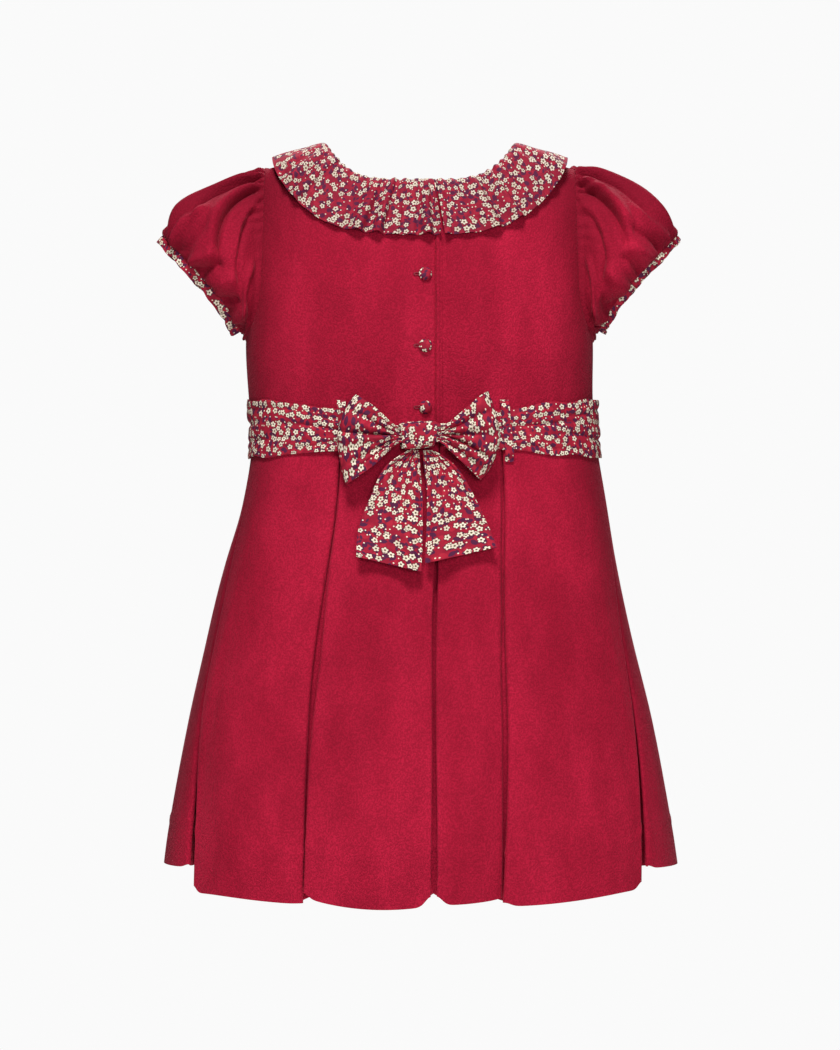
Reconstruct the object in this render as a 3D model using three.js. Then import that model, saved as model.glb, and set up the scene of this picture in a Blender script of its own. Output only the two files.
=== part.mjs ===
import * as THREE from 'three';

// Toddler party dress in the filled-out form it has when worn, seen from its back in the photo.
// Millimetres, +Z up. The back faces -Y, so +X is the wearer's right. The origin is the middle
// of the shoulder line, where a hanger or the wearer's shoulders carry the dress.

const VELVET = 1.5;          // wall of the velvet pieces
const LAWN = 1.2;            // wall of the printed cotton pieces
const SEAM = 0.3;            // open seam between two neighbours
const SQUARE = 2.25;         // how square the rings are: 2 is an ellipse, more is boxier
const ON_CLOTH = (VELVET + LAWN) / 2 + SEAM;   // middle of a cotton piece that lies on velvet

const WAIST_Z = -209;        // seam between bodice and skirt, under the sash
const HEM_Z = -548;          // hem at the centre back and centre front

// The whole form as rings: height, half width, half depth and how far the ring leans to +X.
const FORM = [
  { z: 20, wide: 127, deep: 56, lean: 0 },
  { z: -60, wide: 129, deep: 61, lean: 0 },
  { z: -135, wide: 131, deep: 65, lean: 0 },
  { z: -179, wide: 129.5, deep: 62.5, lean: 0.8 },
  { z: -209, wide: 130, deep: 62, lean: 3.2 },
  { z: -262, wide: 138, deep: 71, lean: 3.6 },
  { z: -307, wide: 147, deep: 81, lean: 1.5 },
  { z: -367, wide: 159.5, deep: 91, lean: 0 },
  { z: -437, wide: 174.5, deep: 102, lean: 0 },
  { z: -521, wide: 187.5, deep: 112, lean: 0.8 },
  { z: -550, wide: 191, deep: 115, lean: 1 },
];

// Shoulders: the form closes over towards the shoulder line above this height.
const ROOF_Z = -110;
const SHOULDER_TOP = 11.75;  // height of the shoulder line if it ran on to the middle
const SHOULDER_FALL = 0.00117;
const NECK_X = 73;           // half width of the neck hole
const BACK_NECK = { z: -26, power: 4.5 };    // a higher power makes the hole squarer
const FRONT_NECK = { z: -50, power: 2.4 };

// Armholes, in degrees round the ring from the middle of the back or front.
const UNDERARM_Z = -135;
const ARMHOLE_CURVE = 42;    // height over which the edge swings in from the side seam
const ARM_BACK = 65;
const ARM_FRONT = 61;

// Placket: the left back laps over the right back.
const PLACKET_X = 16.3;
const UNDERLAP_X = -6;
const UNDERLAP_MIDDLE_X = 4;
const LAP_START = 2;         // beside the placket edge the right back starts to come up,
const LAP_BLEND = 16;        // and this far from the edge it lies level again
const LAP_GAP = 0.4;         // open gap between the two laps

const lerp = (a, b, t) => a + (b - a) * t;
const clamp = (v, lo, hi) => Math.min(hi, Math.max(lo, v));
const smooth = (lo, hi, v) => {
  const t = clamp((v - lo) / (hi - lo), 0, 1);
  return t * t * (3 - 2 * t);
};
const deg = (d) => (d * Math.PI) / 180;
const v3 = (x, y, z) => new THREE.Vector3(x, y, z);

// Smooth reading of a table: rows in order of `by`, value of `key` at `at`.
function read(table, by, key, at) {
  const up = table[table.length - 1][by] > table[0][by];
  const rows = up ? table : [...table].reverse();
  let i = 0;
  while (i < rows.length - 2 && at > rows[i + 1][by]) i += 1;
  const slope = (k) => {
    const lo = rows[Math.max(k - 1, 0)];
    const hi = rows[Math.min(k + 1, rows.length - 1)];
    return (hi[key] - lo[key]) / (hi[by] - lo[by]);
  };
  const run = rows[i + 1][by] - rows[i][by];
  const t = clamp((at - rows[i][by]) / run, 0, 1);
  const t2 = t * t;
  const t3 = t2 * t;
  return (2 * t3 - 3 * t2 + 1) * rows[i][key] + (t3 - 2 * t2 + t) * run * slope(i)
    + (3 * t2 - 2 * t3) * rows[i + 1][key] + (t3 - t2) * run * slope(i + 1);
}

const wide = (z) => read(FORM, 'z', 'wide', z);
const deep = (z) => read(FORM, 'z', 'deep', z);
const lean = (z) => read(FORM, 'z', 'lean', z);
const shoulderZ = (x) => SHOULDER_TOP - SHOULDER_FALL * x * x;

// A closed cloth wall round a grid of middle points. Each row is a list of points; a ring's
// rows close on themselves. `normalAt` gives the wall's direction where a seam must stay square.
function wall(rows, thick, { ring = false, normalAt = null } = {}) {
  const nv = rows.length;
  const nu = rows[0].length;
  const at = (j, i) => rows[clamp(j, 0, nv - 1)][ring ? (i + nu) % nu : clamp(i, 0, nu - 1)];
  const sides = [[], []];
  for (let j = 0; j < nv; j += 1) {
    for (let i = 0; i < nu; i += 1) {
      const p = at(j, i);
      const along = at(j, i + 1).clone().sub(at(j, i - 1));
      const across = at(j + 1, i).clone().sub(at(j - 1, i));
      const n = normalAt ? normalAt(p) : along.cross(across).normalize();
      sides[0].push(p.clone().addScaledVector(n, thick / 2));
      sides[1].push(p.clone().addScaledVector(n, -thick / 2));
    }
  }
  const points = [...sides[0], ...sides[1]];
  const half = nv * nu;
  const id = (side, j, i) => side * half + j * nu + (i % nu);
  const faces = [];
  const quad = (a, b, c, d) => faces.push([a, b, c], [a, c, d]);
  const cells = ring ? nu : nu - 1;
  for (let i = 0; i < cells; i += 1) {
    for (let j = 0; j < nv - 1; j += 1) {
      quad(id(0, j, i), id(0, j, i + 1), id(0, j + 1, i + 1), id(0, j + 1, i));
      quad(id(1, j, i), id(1, j + 1, i), id(1, j + 1, i + 1), id(1, j, i + 1));
    }
    quad(id(0, 0, i), id(1, 0, i), id(1, 0, i + 1), id(0, 0, i + 1));
    quad(id(0, nv - 1, i), id(0, nv - 1, i + 1), id(1, nv - 1, i + 1), id(1, nv - 1, i));
  }
  if (!ring) {
    for (let j = 0; j < nv - 1; j += 1) {
      quad(id(0, j, 0), id(0, j + 1, 0), id(1, j + 1, 0), id(1, j, 0));
      quad(id(0, j, nu - 1), id(1, j, nu - 1), id(1, j + 1, nu - 1), id(0, j + 1, nu - 1));
    }
  }
  const volume = faces.reduce((sum, [a, b, c]) => (
    sum + points[a].dot(points[b].clone().cross(points[c]))), 0);
  if (volume < 0) faces.forEach((f) => f.reverse());
  const geometry = new THREE.BufferGeometry();
  geometry.setAttribute('position', new THREE.Float32BufferAttribute(
    points.flatMap((p) => [p.x, p.y, p.z]), 3));
  geometry.setIndex(faces.flat());
  return geometry;
}

// The form under the bodice.

const roofShare = (x, z) => clamp((z - ROOF_Z) / (shoulderZ(x) - ROOF_Z), 0, 1);

// Half depth of the dress at a place seen from the back.
function depthAt(x, z) {
  const side = 1 - clamp(Math.abs(x - lean(z)) / wide(z), 0, 1) ** SQUARE;
  const roof = 1 - roofShare(x, z) ** SQUARE;
  return deep(z) * (side * roof) ** (1 / SQUARE);
}

// Below zero inside the form, zero on it, more outside.
function outside(p) {
  const side = 1 - (Math.abs(p.x - lean(p.z)) / wide(p.z)) ** SQUARE;
  const t = Math.max(0, (p.z - ROOF_Z) / (shoulderZ(p.x) - ROOF_Z));
  return (Math.abs(p.y) / deep(p.z)) ** SQUARE - side * (1 - t ** SQUARE);
}

const SLOPE_STEP = 0.01;
const FIT_ROUNDS = 4;        // rounds that bring a point onto the form

function formSlope(p) {
  const e = SLOPE_STEP;
  const d = (x, y, z) => outside(v3(p.x + x, p.y + y, p.z + z))
    - outside(v3(p.x - x, p.y - y, p.z - z));
  return v3(d(e, 0, 0), d(0, e, 0), d(0, 0, e)).divideScalar(2 * e);
}

const formNormal = (p) => formSlope(p).normalize();

function ontoForm(p) {
  for (let k = 0; k < FIT_ROUNDS; k += 1) {
    const slope = formSlope(p);
    p.addScaledVector(slope, -outside(p) / slope.lengthSq());
  }
  return p;
}

const tangential = (v, n) => v.clone().addScaledVector(n, -v.dot(n)).normalize();

const ringX = (z, angle) => wide(z) * Math.sin(deg(angle)) ** (2 / SQUARE);

// Bodice.

const LOW_ROWS = 3;          // rows below the underarm
const ARM_ROWS = 8;          // rows beside the armhole
const PANEL_ROWS = LOW_ROWS + ARM_ROWS;
const ROW_PACK = 1.15;        // how much closer the rows lie over the shoulder
const BODICE_Z = WAIST_Z + 0.2;
const SHOULDER_POINT_X = 118; // where the shoulder seam meets the armhole
const SHOULDER_POINT_Z = shoulderZ(SHOULDER_POINT_X);
const underarmShare = (UNDERARM_Z - BODICE_Z) / (SHOULDER_POINT_Z - BODICE_Z);

// Height share of a panel row: even below the underarm, closer together over the shoulder.
function rowShare(row) {
  if (row <= LOW_ROWS) return underarmShare * (row / LOW_ROWS);
  const up = (row - LOW_ROWS) / ARM_ROWS;
  return lerp(underarmShare, 1, Math.sin(deg(90 * up ** ROW_PACK)));
}

// Ring angle of a panel's outer edge: the side seam, then the armhole.
function edgeAngle(row, armAngle) {
  const z = lerp(BODICE_Z, SHOULDER_POINT_Z, rowShare(row));
  if (z <= UNDERARM_Z) return 90;
  const s = clamp((z - UNDERARM_Z) / ARMHOLE_CURVE, 0, 1);
  return 90 - (90 - armAngle) * Math.sqrt(1 - (1 - s) ** 2);
}

function topZ(x, front) {
  const neck = front ? FRONT_NECK : BACK_NECK;
  if (Math.abs(x) >= NECK_X) return shoulderZ(x);
  return lerp(neck.z, shoulderZ(NECK_X), (Math.abs(x) / NECK_X) ** neck.power);
}

// One point of a bodice panel: `share` runs from the middle (0) to the outer edge (1).
function panelPoint(row, share, side, front) {
  const arm = front ? ARM_FRONT : ARM_BACK;
  const topX = ringX(SHOULDER_POINT_Z, arm * share);
  const z = lerp(BODICE_Z, topZ(topX, front), rowShare(row));
  const x = ringX(z, edgeAngle(row, arm) * share);
  const y = depthAt(x + lean(z), z) + SEAM / 2;
  return v3(side * x + lean(z), front ? y : -y, z);
}

const NECK_COLUMNS = 6;
const SHOULDER_COLUMNS = 4;

// Column shares of half a panel: the first ones end at the neck, the rest at the shoulder.
function shares(front) {
  const turn = Math.asin((NECK_X / wide(SHOULDER_POINT_Z)) ** (SQUARE / 2));
  const neck = turn / deg(front ? ARM_FRONT : ARM_BACK);
  const list = [];
  for (let k = 0; k <= NECK_COLUMNS; k += 1) list.push((neck * k) / NECK_COLUMNS);
  for (let k = 1; k <= SHOULDER_COLUMNS; k += 1) list.push(lerp(neck, 1, k / SHOULDER_COLUMNS));
  return list;
}

function bodiceFront() {
  const list = shares(true);
  const rows = [];
  for (let row = 0; row <= PANEL_ROWS; row += 1) {
    const left = list.slice(1).reverse().map((s) => panelPoint(row, s, -1, true));
    const right = list.map((s) => panelPoint(row, s, 1, true));
    rows.push([...left, ...right]);
  }
  return wall(rows, VELVET, { normalAt: formNormal });
}

// The lapped part of a back panel, worked out from the row's own height.
function lapPoint(row, x) {
  const z = lerp(BODICE_Z, topZ(x, false), rowShare(row));
  return v3(x, -(depthAt(x, z) + SEAM / 2), z);
}

function bodiceBackLeft() {
  const rows = [];
  for (let row = 0; row <= PANEL_ROWS; row += 1) {
    const panel = shares(false).slice(1).reverse().map((s) => panelPoint(row, s, -1, false));
    rows.push([...panel, lapPoint(row, 0), lapPoint(row, PLACKET_X / 2), lapPoint(row, PLACKET_X)]);
  }
  return wall(rows, VELVET, { normalAt: formNormal });
}

function bodiceBackRight() {
  const sink = (p) => {
    const level = smooth(PLACKET_X + LAP_START, PLACKET_X + LAP_BLEND, p.x);
    const depth = (VELVET + LAP_GAP) * (1 - level);
    return p.addScaledVector(formNormal(p), -depth);
  };
  const rows = [];
  for (let row = 0; row <= PANEL_ROWS; row += 1) {
    const panel = shares(false).slice(2).map((s) => panelPoint(row, s, 1, false));
    const lap = [UNDERLAP_X, UNDERLAP_MIDDLE_X, PLACKET_X + LAP_START].map((x) => lapPoint(row, x));
    rows.push([...lap, ...panel].map(sink));
  }
  return wall(rows, VELVET, { normalAt: formNormal });
}

// Neck binding and collar.

const BINDING_HIGH = 7;
const BINDING_END = { right: PLACKET_X + 1.3, left: PLACKET_X - 0.2 };
const NECK_AIM = v3(0, 0, 60);   // point above the neck hole that the binding leans to
const COLLAR_AIM = v3(0, 0, 40); // point above the neck that the ruffle runs away from

// Neck edge by turn: 0 is the centre back, 90 the +X shoulder, 180 the centre front.
function neckEdge(turn) {
  const front = Math.cos(deg(turn)) < 0;
  const x = NECK_X * Math.sin(deg(turn));
  const z = topZ(Math.min(Math.abs(x), NECK_X - 0.001), front);
  const y = depthAt(x, z) + SEAM / 2;
  return v3(x, front ? y : -y, z);
}

const turnOfX = (x) => (Math.asin(x / NECK_X) * 180) / Math.PI;

// The panels' own neck points, from the placket's right end round the front to its left end.
function neckPoints() {
  const top = (share, side, front) => panelPoint(PANEL_ROWS, share, side, front);
  const back = shares(false).slice(1, NECK_COLUMNS + 1);
  const front = shares(true).slice(0, NECK_COLUMNS);
  return [
    lapPoint(PANEL_ROWS, BINDING_END.right),
    ...back.slice(1).map((s) => top(s, 1, false)),
    ...[...front].reverse().map((s) => top(s, 1, true)),
    ...front.slice(1).map((s) => top(s, -1, true)),
    ...[...back].reverse().map((s) => top(s, -1, false)),
    ...[0, PLACKET_X / 2, BINDING_END.left].map((x) => lapPoint(PANEL_ROWS, x)),
  ];
}

function neckBinding() {
  const rows = [SEAM, BINDING_HIGH].map((up) => neckPoints().map((edge) => {
    const n = formNormal(edge);
    return edge.addScaledVector(tangential(NECK_AIM.clone().sub(edge), n), up);
  }));
  return wall(rows, VELVET, { normalAt: formNormal });
}

// The ruffle's profile: `up` beyond the neck edge, `out` down over the form, `lift` off it.
const RUFFLE = [
  { up: 5, out: 0, lift: 1.9, wave: 0 },
  { up: 8.5, out: 0, lift: 4.6, wave: 0.12 },
  { up: 1, out: 0, lift: 7.2, wave: 0.3 },
  { up: 0, out: 13, lift: 4.6, wave: 0.5 },
  { up: 0, out: 25, lift: 3.2, wave: 0.8 },
  { up: 0, out: 37, lift: 2.2, wave: 1 },
];
const RUFFLE_WAVE = 5.5;     // height of the waves at the outer edge
const RUFFLE_STRIDE = 3;     // longest step that the ruffle takes over the form
const COLLAR_COLUMNS = 44;
const COLLAR_END = { right: PLACKET_X - 1.5, left: PLACKET_X - 5.2 };
const FRONT_SPLIT = 0.3;     // half turn left open between the halves at the centre front

// Waves round the neck: how many, their share of the height, and where they start.
const WAVES = { count: 19, share: 0.38 };
const SLOW_WAVES = { count: 8, share: 0.14, start: 1.3 };
const DRIFT = { count: 3, by: 0.9, start: 0.4 };   // slow drift that makes the waves uneven

// Uneven ruffle waves, 0 to 1, by turn round the neck.
function ruffle(turn) {
  const t = deg(turn);
  const drift = DRIFT.by * Math.sin(DRIFT.count * t + DRIFT.start);
  const waves = WAVES.share * Math.sin(WAVES.count * t + drift);
  const slow = SLOW_WAVES.share * Math.sin(SLOW_WAVES.count * t + SLOW_WAVES.start);
  return clamp(0.5 + waves + slow, 0, 1);
}

function collar(startTurn, endTurn) {
  const rows = RUFFLE.map(() => []);
  for (let i = 0; i <= COLLAR_COLUMNS; i += 1) {
    const turn = lerp(startTurn, endTurn, i / COLLAR_COLUMNS);
    RUFFLE.forEach((step, k) => {
      const p = neckEdge(turn);
      if (step.up > 0) {
        const n = formNormal(p);
        p.addScaledVector(tangential(NECK_AIM.clone().sub(p), n), step.up);
      }
      const strides = Math.ceil(step.out / RUFFLE_STRIDE);
      for (let s = 0; s < strides; s += 1) {
        p.addScaledVector(tangential(p.clone().sub(COLLAR_AIM), formNormal(p)), step.out / strides);
        ontoForm(p);
      }
      const lift = step.lift + RUFFLE_WAVE * step.wave * ruffle(turn);
      rows[k].push(p.addScaledVector(formNormal(p), lift));
    });
  }
  return wall(rows, LAWN);
}

// Sleeves and cuffs.

const ARM_AIM_X = 140;       // middle of the armhole, which its edge points look to
const ARM_AIM_Z = -70;
const SLEEVE_SPLIT = 2;      // sleeve columns for each armhole row
const SLEEVE_ROWS = 9;
// Middle of the sleeve's end, its half length and half depth, its slant, how far it bows in
// and how far its upper end stands out.
const CUFF = { x: 163.1, z: -87.8, long: 44.8, deep: 25, slant: 51.5, dip: 3, flare: 2 };
const CUFF_START = 1.1;      // the cuff begins this far beyond the sleeve's end
const CUFF_HIGH = 7;
const CUFF_WALL = 1.8;       // a folded binding
const CUFF_COLUMNS = 32;
const CUFF_GATHER = { count: 8, high: 0.6 };
const CUFF_TAPER = 0.2;      // the cuff draws in by this share of its height
const SLEEVE_LEAVE = 1.3;    // the sleeve starts this far beyond the armhole's edge

// How the sleeve leaves the armhole: off the form, more beside the arm, and up at the top.
const HEAD = { off: 8, beside: 12, puff: 34, spread: 9, rise: { left: -1, right: 8 } };
// How it comes down to the cuff: back along the arm, and out round it.
const HAND = { back: 3, puff: 23, swell: 6, beside: 16, top: 13 };
// Gathers: height, folds round the arm, reach along the sleeve, unevenness and its waves.
const HEAD_GATHER = { high: 2.6, folds: 9, start: 0, reach: 0.3, uneven: 0.8, waves: 2 };
const HAND_GATHER = { high: 2, folds: 8, start: 1.1, reach: 0.28, uneven: 0.7, waves: 3 };
const FLAT_END = 0.08;       // share of the sleeve that stays smooth at either seam
const UNDERARM_SHARE = 0.25; // share of the head's gathers that is left under the arm

// Armhole ring from the underarm up the back, over the shoulder and down the front.
function armholeRing(side) {
  const back = [];
  const front = [];
  for (let row = LOW_ROWS; row <= PANEL_ROWS; row += 1) {
    back.push(panelPoint(row, 1, side, false));
    front.push(panelPoint(row, 1, side, true));
  }
  const corners = [...back, ...front.reverse().slice(1, -1)];
  const ring = [];
  corners.forEach((p, i) => {
    const q = corners[(i + 1) % corners.length];
    for (let k = 0; k < SLEEVE_SPLIT; k += 1) {
      const edge = p.clone().lerp(q, k / SLEEVE_SPLIT);
      const aim = v3(side * ARM_AIM_X, 0, ARM_AIM_Z).sub(edge);
      ring.push(edge.addScaledVector(tangential(aim, formNormal(edge)), SLEEVE_LEAVE));
    }
  });
  return ring;
}

// The cuff's own directions: along its long way, and out along the arm.
function cuffFrame(side) {
  return {
    centre: v3(side * CUFF.x, 0, CUFF.z),
    long: v3(-side * Math.cos(deg(CUFF.slant)), 0, -Math.sin(deg(CUFF.slant))),
    out: v3(side * Math.sin(deg(CUFF.slant)), 0, -Math.cos(deg(CUFF.slant))),
  };
}

function cuffPoint(frame, angle, out, grow) {
  const c = Math.cos(angle);
  const dip = CUFF.dip * (1 - c * c) * (1 + c) - (CUFF.flare * (1 - c)) / 2;
  return frame.centre.clone()
    .addScaledVector(frame.long, (CUFF.long + grow) * c)
    .add(v3(0, -(CUFF.deep + grow) * Math.sin(angle), 0))
    .addScaledVector(frame.out, out - dip);
}

// Uneven waves round the sleeve, `from` being the share of the way from their own seam.
function gather({ high, folds, start, reach, uneven, waves }, angle, from) {
  const strength = high * Math.exp(-from / reach) * smooth(0, FLAT_END, from);
  return strength * Math.sin(folds * angle + start + uneven * Math.sin(waves * angle));
}

function sleeve(side) {
  const start = armholeRing(side);
  const frame = cuffFrame(side);
  const rise = side < 0 ? HEAD.rise.left : HEAD.rise.right;
  const count = start.length;
  const rows = [];
  for (let r = 0; r <= SLEEVE_ROWS; r += 1) {
    const v = r / SLEEVE_ROWS;
    rows.push(start.map((p, i) => {
      const angle = (2 * Math.PI * i) / count;
      const top = (1 - Math.cos(angle)) / 2;
      const beside = Math.sin(angle);
      const off = (HEAD.off + HEAD.beside * Math.abs(beside)) * (1 - top);
      const a = p.clone().addScaledVector(formNormal(p), off)
        .add(v3(side * HEAD.puff * top, -HEAD.spread * beside, rise * top));
      const end = cuffPoint(frame, angle, 0, 0);
      const radial = frame.long.clone().multiplyScalar(Math.cos(angle)).add(v3(0, -beside, 0));
      const round = HAND.swell + HAND.beside * Math.abs(beside) + HAND.top * top;
      const b = end.clone().addScaledVector(frame.out, -(HAND.back + HAND.puff * top))
        .addScaledVector(radial, round);
      const curve = new THREE.CubicBezierCurve3(p, a, b, end);
      const folds = gather(HEAD_GATHER, angle, v) * lerp(UNDERARM_SHARE, 1, top)
        + gather(HAND_GATHER, angle, 1 - v);
      return curve.getPoint(v).addScaledVector(radial, folds);
    }));
  }
  return wall(rows, VELVET, { ring: true });
}

function cuff(side) {
  const frame = cuffFrame(side);
  const rows = [CUFF_START, CUFF_HIGH].map((out) => {
    const row = [];
    for (let i = 0; i < CUFF_COLUMNS; i += 1) {
      const angle = (2 * Math.PI * i) / CUFF_COLUMNS;
      const grow = CUFF_GATHER.high * Math.sin(CUFF_GATHER.count * angle) - CUFF_TAPER * out;
      row.push(cuffPoint(frame, angle, out, grow));
    }
    return row;
  });
  return wall(rows, CUFF_WALL, { ring: true });
}

// Skirt.

// Inverted pleats: ring angle at waist and hem (0 centre back, 90 the +X side) and half opening.
const SIDE_PLEAT = { left: 63, right: 59.3 };   // from the centre back at the hem
const PLEATS = [
  { at: 'side right', waist: 83, hem: SIDE_PLEAT.right, open: 6 },
  { at: 'front right', waist: 148, hem: 142, open: 3 },
  { at: 'front centre', waist: 180, hem: 180, open: 2.4 },
  { at: 'front left', waist: 212, hem: 218, open: 3 },
  { at: 'side left', waist: 277, hem: 360 - SIDE_PLEAT.left, open: 6 },
  { at: 'back left', waist: 334, hem: 335.4, open: 1.6 },
  { at: 'back centre', waist: 363.5, hem: 361.7, open: 2.2 },
  { at: 'back right', waist: 383.5, hem: 375.8, open: 2 },
  { at: 'side right', waist: 443, hem: 360 + SIDE_PLEAT.right, open: 6 },
];
const SIDE_LEFT = PLEATS.findIndex(({ at }) => at === 'side left');
const SKIRT_ROWS = [0, 0.08, 0.18, 0.3, 0.44, 0.58, 0.72, 0.86, 1];
const LAYER = 3.1;           // from one pressed layer to the next
const TURN = 2;              // half width of a pressed fold
const TUCK = { waist: 20, hem: 22 };       // how far a fold reaches under its panel
const UNDER = { waist: 6.2, hem: 15 };     // how far in the pleat's underlay lies
const JOIN = 3;              // half length of the square piece at the side join
const CLOSED = 1.35;         // half opening of a pleat at the waist
const PANEL_BOW = 3.5;       // panels bow out this much at the hem
const PANEL_STEP = 24;       // hem length of a panel column
const OPEN_POWER = 1.5;      // pleats open slowly below the waist,
const UNDER_POWER = 1.3;     // and their underlays sink more evenly
const SKIRT_TOP = WAIST_Z - 0.3;
// The hem rises towards the sides, in degrees from the side: smoothly over the front, and on the
// back a little along the panel and then at once behind the side pleat.
const SIDE_LIFT = 20;
const PANEL_LIFT = { left: 6, right: 8.5 };
const PANEL_FROM = { left: 28, right: 18 };
const PLEAT_HALF = 2.6;
const FRONT_RISE = { near: 5, far: 55 };
const PANEL_DROP = 1.5;      // the hem hangs this much lower in the middle of a panel

const RING_END = 450;        // the rings are measured over a turn and a quarter
const RING_STEPS = 720;

// A point of the form's ring at one height, by ring angle.
function ringPoint(z, angle) {
  const s = Math.sin(deg(angle));
  const c = Math.cos(deg(angle));
  return v3(lean(z) + wide(z) * Math.sign(s) * Math.abs(s) ** (2 / SQUARE),
    -deep(z) * Math.sign(c) * Math.abs(c) ** (2 / SQUARE), z);
}

// Level outward direction of the form's ring at a point on it.
function ringOut(p) {
  const a = wide(p.z);
  const b = deep(p.z);
  const x = p.x - lean(p.z);
  return v3(Math.sign(x) * Math.abs(x / a) ** (SQUARE - 1) / a,
    Math.sign(p.y) * Math.abs(p.y / b) ** (SQUARE - 1) / b, 0).normalize();
}

function hemLift(angle) {
  const turn = angle % 360;
  if (turn > 90 && turn < 270) {
    return SIDE_LIFT * (1 - smooth(FRONT_RISE.near, FRONT_RISE.far, Math.abs((turn % 180) - 90)));
  }
  const side = turn <= 90 ? 'right' : 'left';
  const fromBack = turn <= 90 ? turn : 360 - turn;
  const pleat = SIDE_PLEAT[side];
  return PANEL_LIFT[side] * smooth(PANEL_FROM[side], pleat, fromBack)
    + (SIDE_LIFT - PANEL_LIFT[side]) * smooth(pleat - PLEAT_HALF, pleat + PLEAT_HALF, fromBack);
}

// A ring of the form at one height, measured along its length.
function ringAt(z) {
  const table = [];
  let run = 0;
  let last = null;
  for (let k = 0; k <= RING_STEPS; k += 1) {
    const angle = (RING_END * k) / RING_STEPS;
    const p = ringPoint(z, angle);
    if (last) run += p.distanceTo(last);
    last = p;
    table.push({ angle, run });
  }
  const search = (from, to, value) => {
    let k = 1;
    while (k < RING_STEPS && table[k][from] < value) k += 1;
    const t = (value - table[k - 1][from]) / (table[k][from] - table[k - 1][from]);
    return lerp(table[k - 1][to], table[k][to], t);
  };
  return {
    runOf: (angle) => search('angle', 'run', angle),
    angleOf: (length) => search('run', 'angle', length),
    point: (length, inward) => {
      const p = ringPoint(z, search('run', 'angle', length));
      return p.addScaledVector(ringOut(p), -inward);
    },
  };
}

// One half of a pleat from its panel's fold to the middle of the underlay.
function pleatHalf(open, tuck, under) {
  return [
    [open + TURN, 0], [open, LAYER / 2], [open + TURN, LAYER],
    [tuck - TURN, under - LAYER], [tuck, under - LAYER / 2], [tuck - TURN, under],
  ];
}

function skirt(first, last) {
  const counts = [];
  const hemRing = ringAt(HEM_Z);
  for (let p = first; p < last; p += 1) {
    const run = hemRing.runOf(PLEATS[p + 1].hem) - hemRing.runOf(PLEATS[p].hem);
    counts.push(Math.round(run / PANEL_STEP));
  }
  const rows = SKIRT_ROWS.map((down) => {
    const ring = ringAt(lerp(SKIRT_TOP, HEM_Z, down));
    const tuck = lerp(TUCK.waist, TUCK.hem, down);
    const under = lerp(UNDER.waist, UNDER.hem, down ** UNDER_POWER);
    const row = [];
    const add = (length, inward, drop = 0) => {
      const hem = HEM_Z + hemLift(ring.angleOf(length)) - drop;
      const point = ring.point(length, inward);
      point.z = lerp(SKIRT_TOP, hem, down);
      row.push(point);
    };
    for (let p = first; p <= last; p += 1) {
      const pleat = PLEATS[p];
      const middle = ring.runOf(lerp(pleat.waist, pleat.hem, down));
      const half = pleatHalf(lerp(CLOSED, pleat.open, down ** OPEN_POWER), tuck, under);
      if (p > first) half.forEach(([s, o]) => add(middle - s, o));
      if (p > first && p < last) add(middle, under);
      if (p === first) [SEAM / 2, JOIN].forEach((s) => add(middle + s, under));
      if (p === last) [JOIN, SEAM / 2].forEach((s) => add(middle - s, under));
      if (p === last) continue;
      [...half].reverse().forEach(([s, o]) => add(middle + s, o));
      const next = PLEATS[p + 1];
      const nextOpen = lerp(CLOSED, next.open, down ** OPEN_POWER) + TURN;
      const from = middle + half[0][0];
      const to = ring.runOf(lerp(next.waist, next.hem, down)) - nextOpen;
      const count = counts[p - first];
      for (let k = 1; k < count; k += 1) {
        const bow = Math.sin((Math.PI * k) / count);
        add(lerp(from, to, k / count), -PANEL_BOW * down * bow, PANEL_DROP * bow);
      }
    }
    return row;
  });
  return wall(rows, VELVET);
}

// Sash, belt loops and bow.

// The sash narrows near the centre back: its top edge dips and its bottom edge rises there.
const SASH = { top: -179, bottom: -223, dip: 14, rise: 7, near: 40 };
const SASH_FOLD = { high: 1.5, count: 3, sway: 0.8 };
const SASH_OUT = ON_CLOTH + 0.45;
const SASH_FLARE = { angle: 89, near: 22, out: 4.5 };   // it stands off the right side here
const SASH_COLUMNS = 60;
const SASH_ROWS = 6;

// Point on the form at a ring angle and height, moved out.
function formPoint(z, angle, out) {
  const p = ringPoint(z, angle);
  return p.addScaledVector(ringOut(p), out);
}

function sashEdges(angle) {
  const fromBack = Math.abs(((angle + 180) % 360) - 180);
  const near = Math.exp(-((fromBack / SASH.near) ** 2));
  return { top: SASH.top - SASH.dip * near, bottom: SASH.bottom + SASH.rise * near };
}

function sashBand() {
  const rows = [];
  for (let r = 0; r <= SASH_ROWS; r += 1) {
    const row = [];
    for (let i = 0; i < SASH_COLUMNS; i += 1) {
      const angle = (360 * i) / SASH_COLUMNS;
      const { top, bottom } = sashEdges(angle);
      const v = r / SASH_ROWS;
      const sway = SASH_FOLD.sway * Math.sin(deg(2 * angle));
      const wave = 0.5 + 0.5 * Math.cos(2 * Math.PI * SASH_FOLD.count * v + sway);
      const flare = SASH_FLARE.out * Math.exp(-(((angle - SASH_FLARE.angle) / SASH_FLARE.near) ** 2));
      row.push(formPoint(lerp(top, bottom, v), angle, SASH_OUT + SASH_FOLD.high * wave + flare));
    }
    rows.push(row);
  }
  return wall(rows, LAWN, { ring: true });
}

// Belt loop: ring angles, ends, how far it stands out, and the shares where it lifts and lands.
const LOOP = { angle: 25.3, half: 1.6, top: -181, bottom: -227, out: 5.3, end: ON_CLOTH + 0.1 };
const LOOP_LIFT = 0.12;
const LOOP_LAND = { from: 0.84, to: 0.98 };
const LOOP_ROWS = 10;

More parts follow.
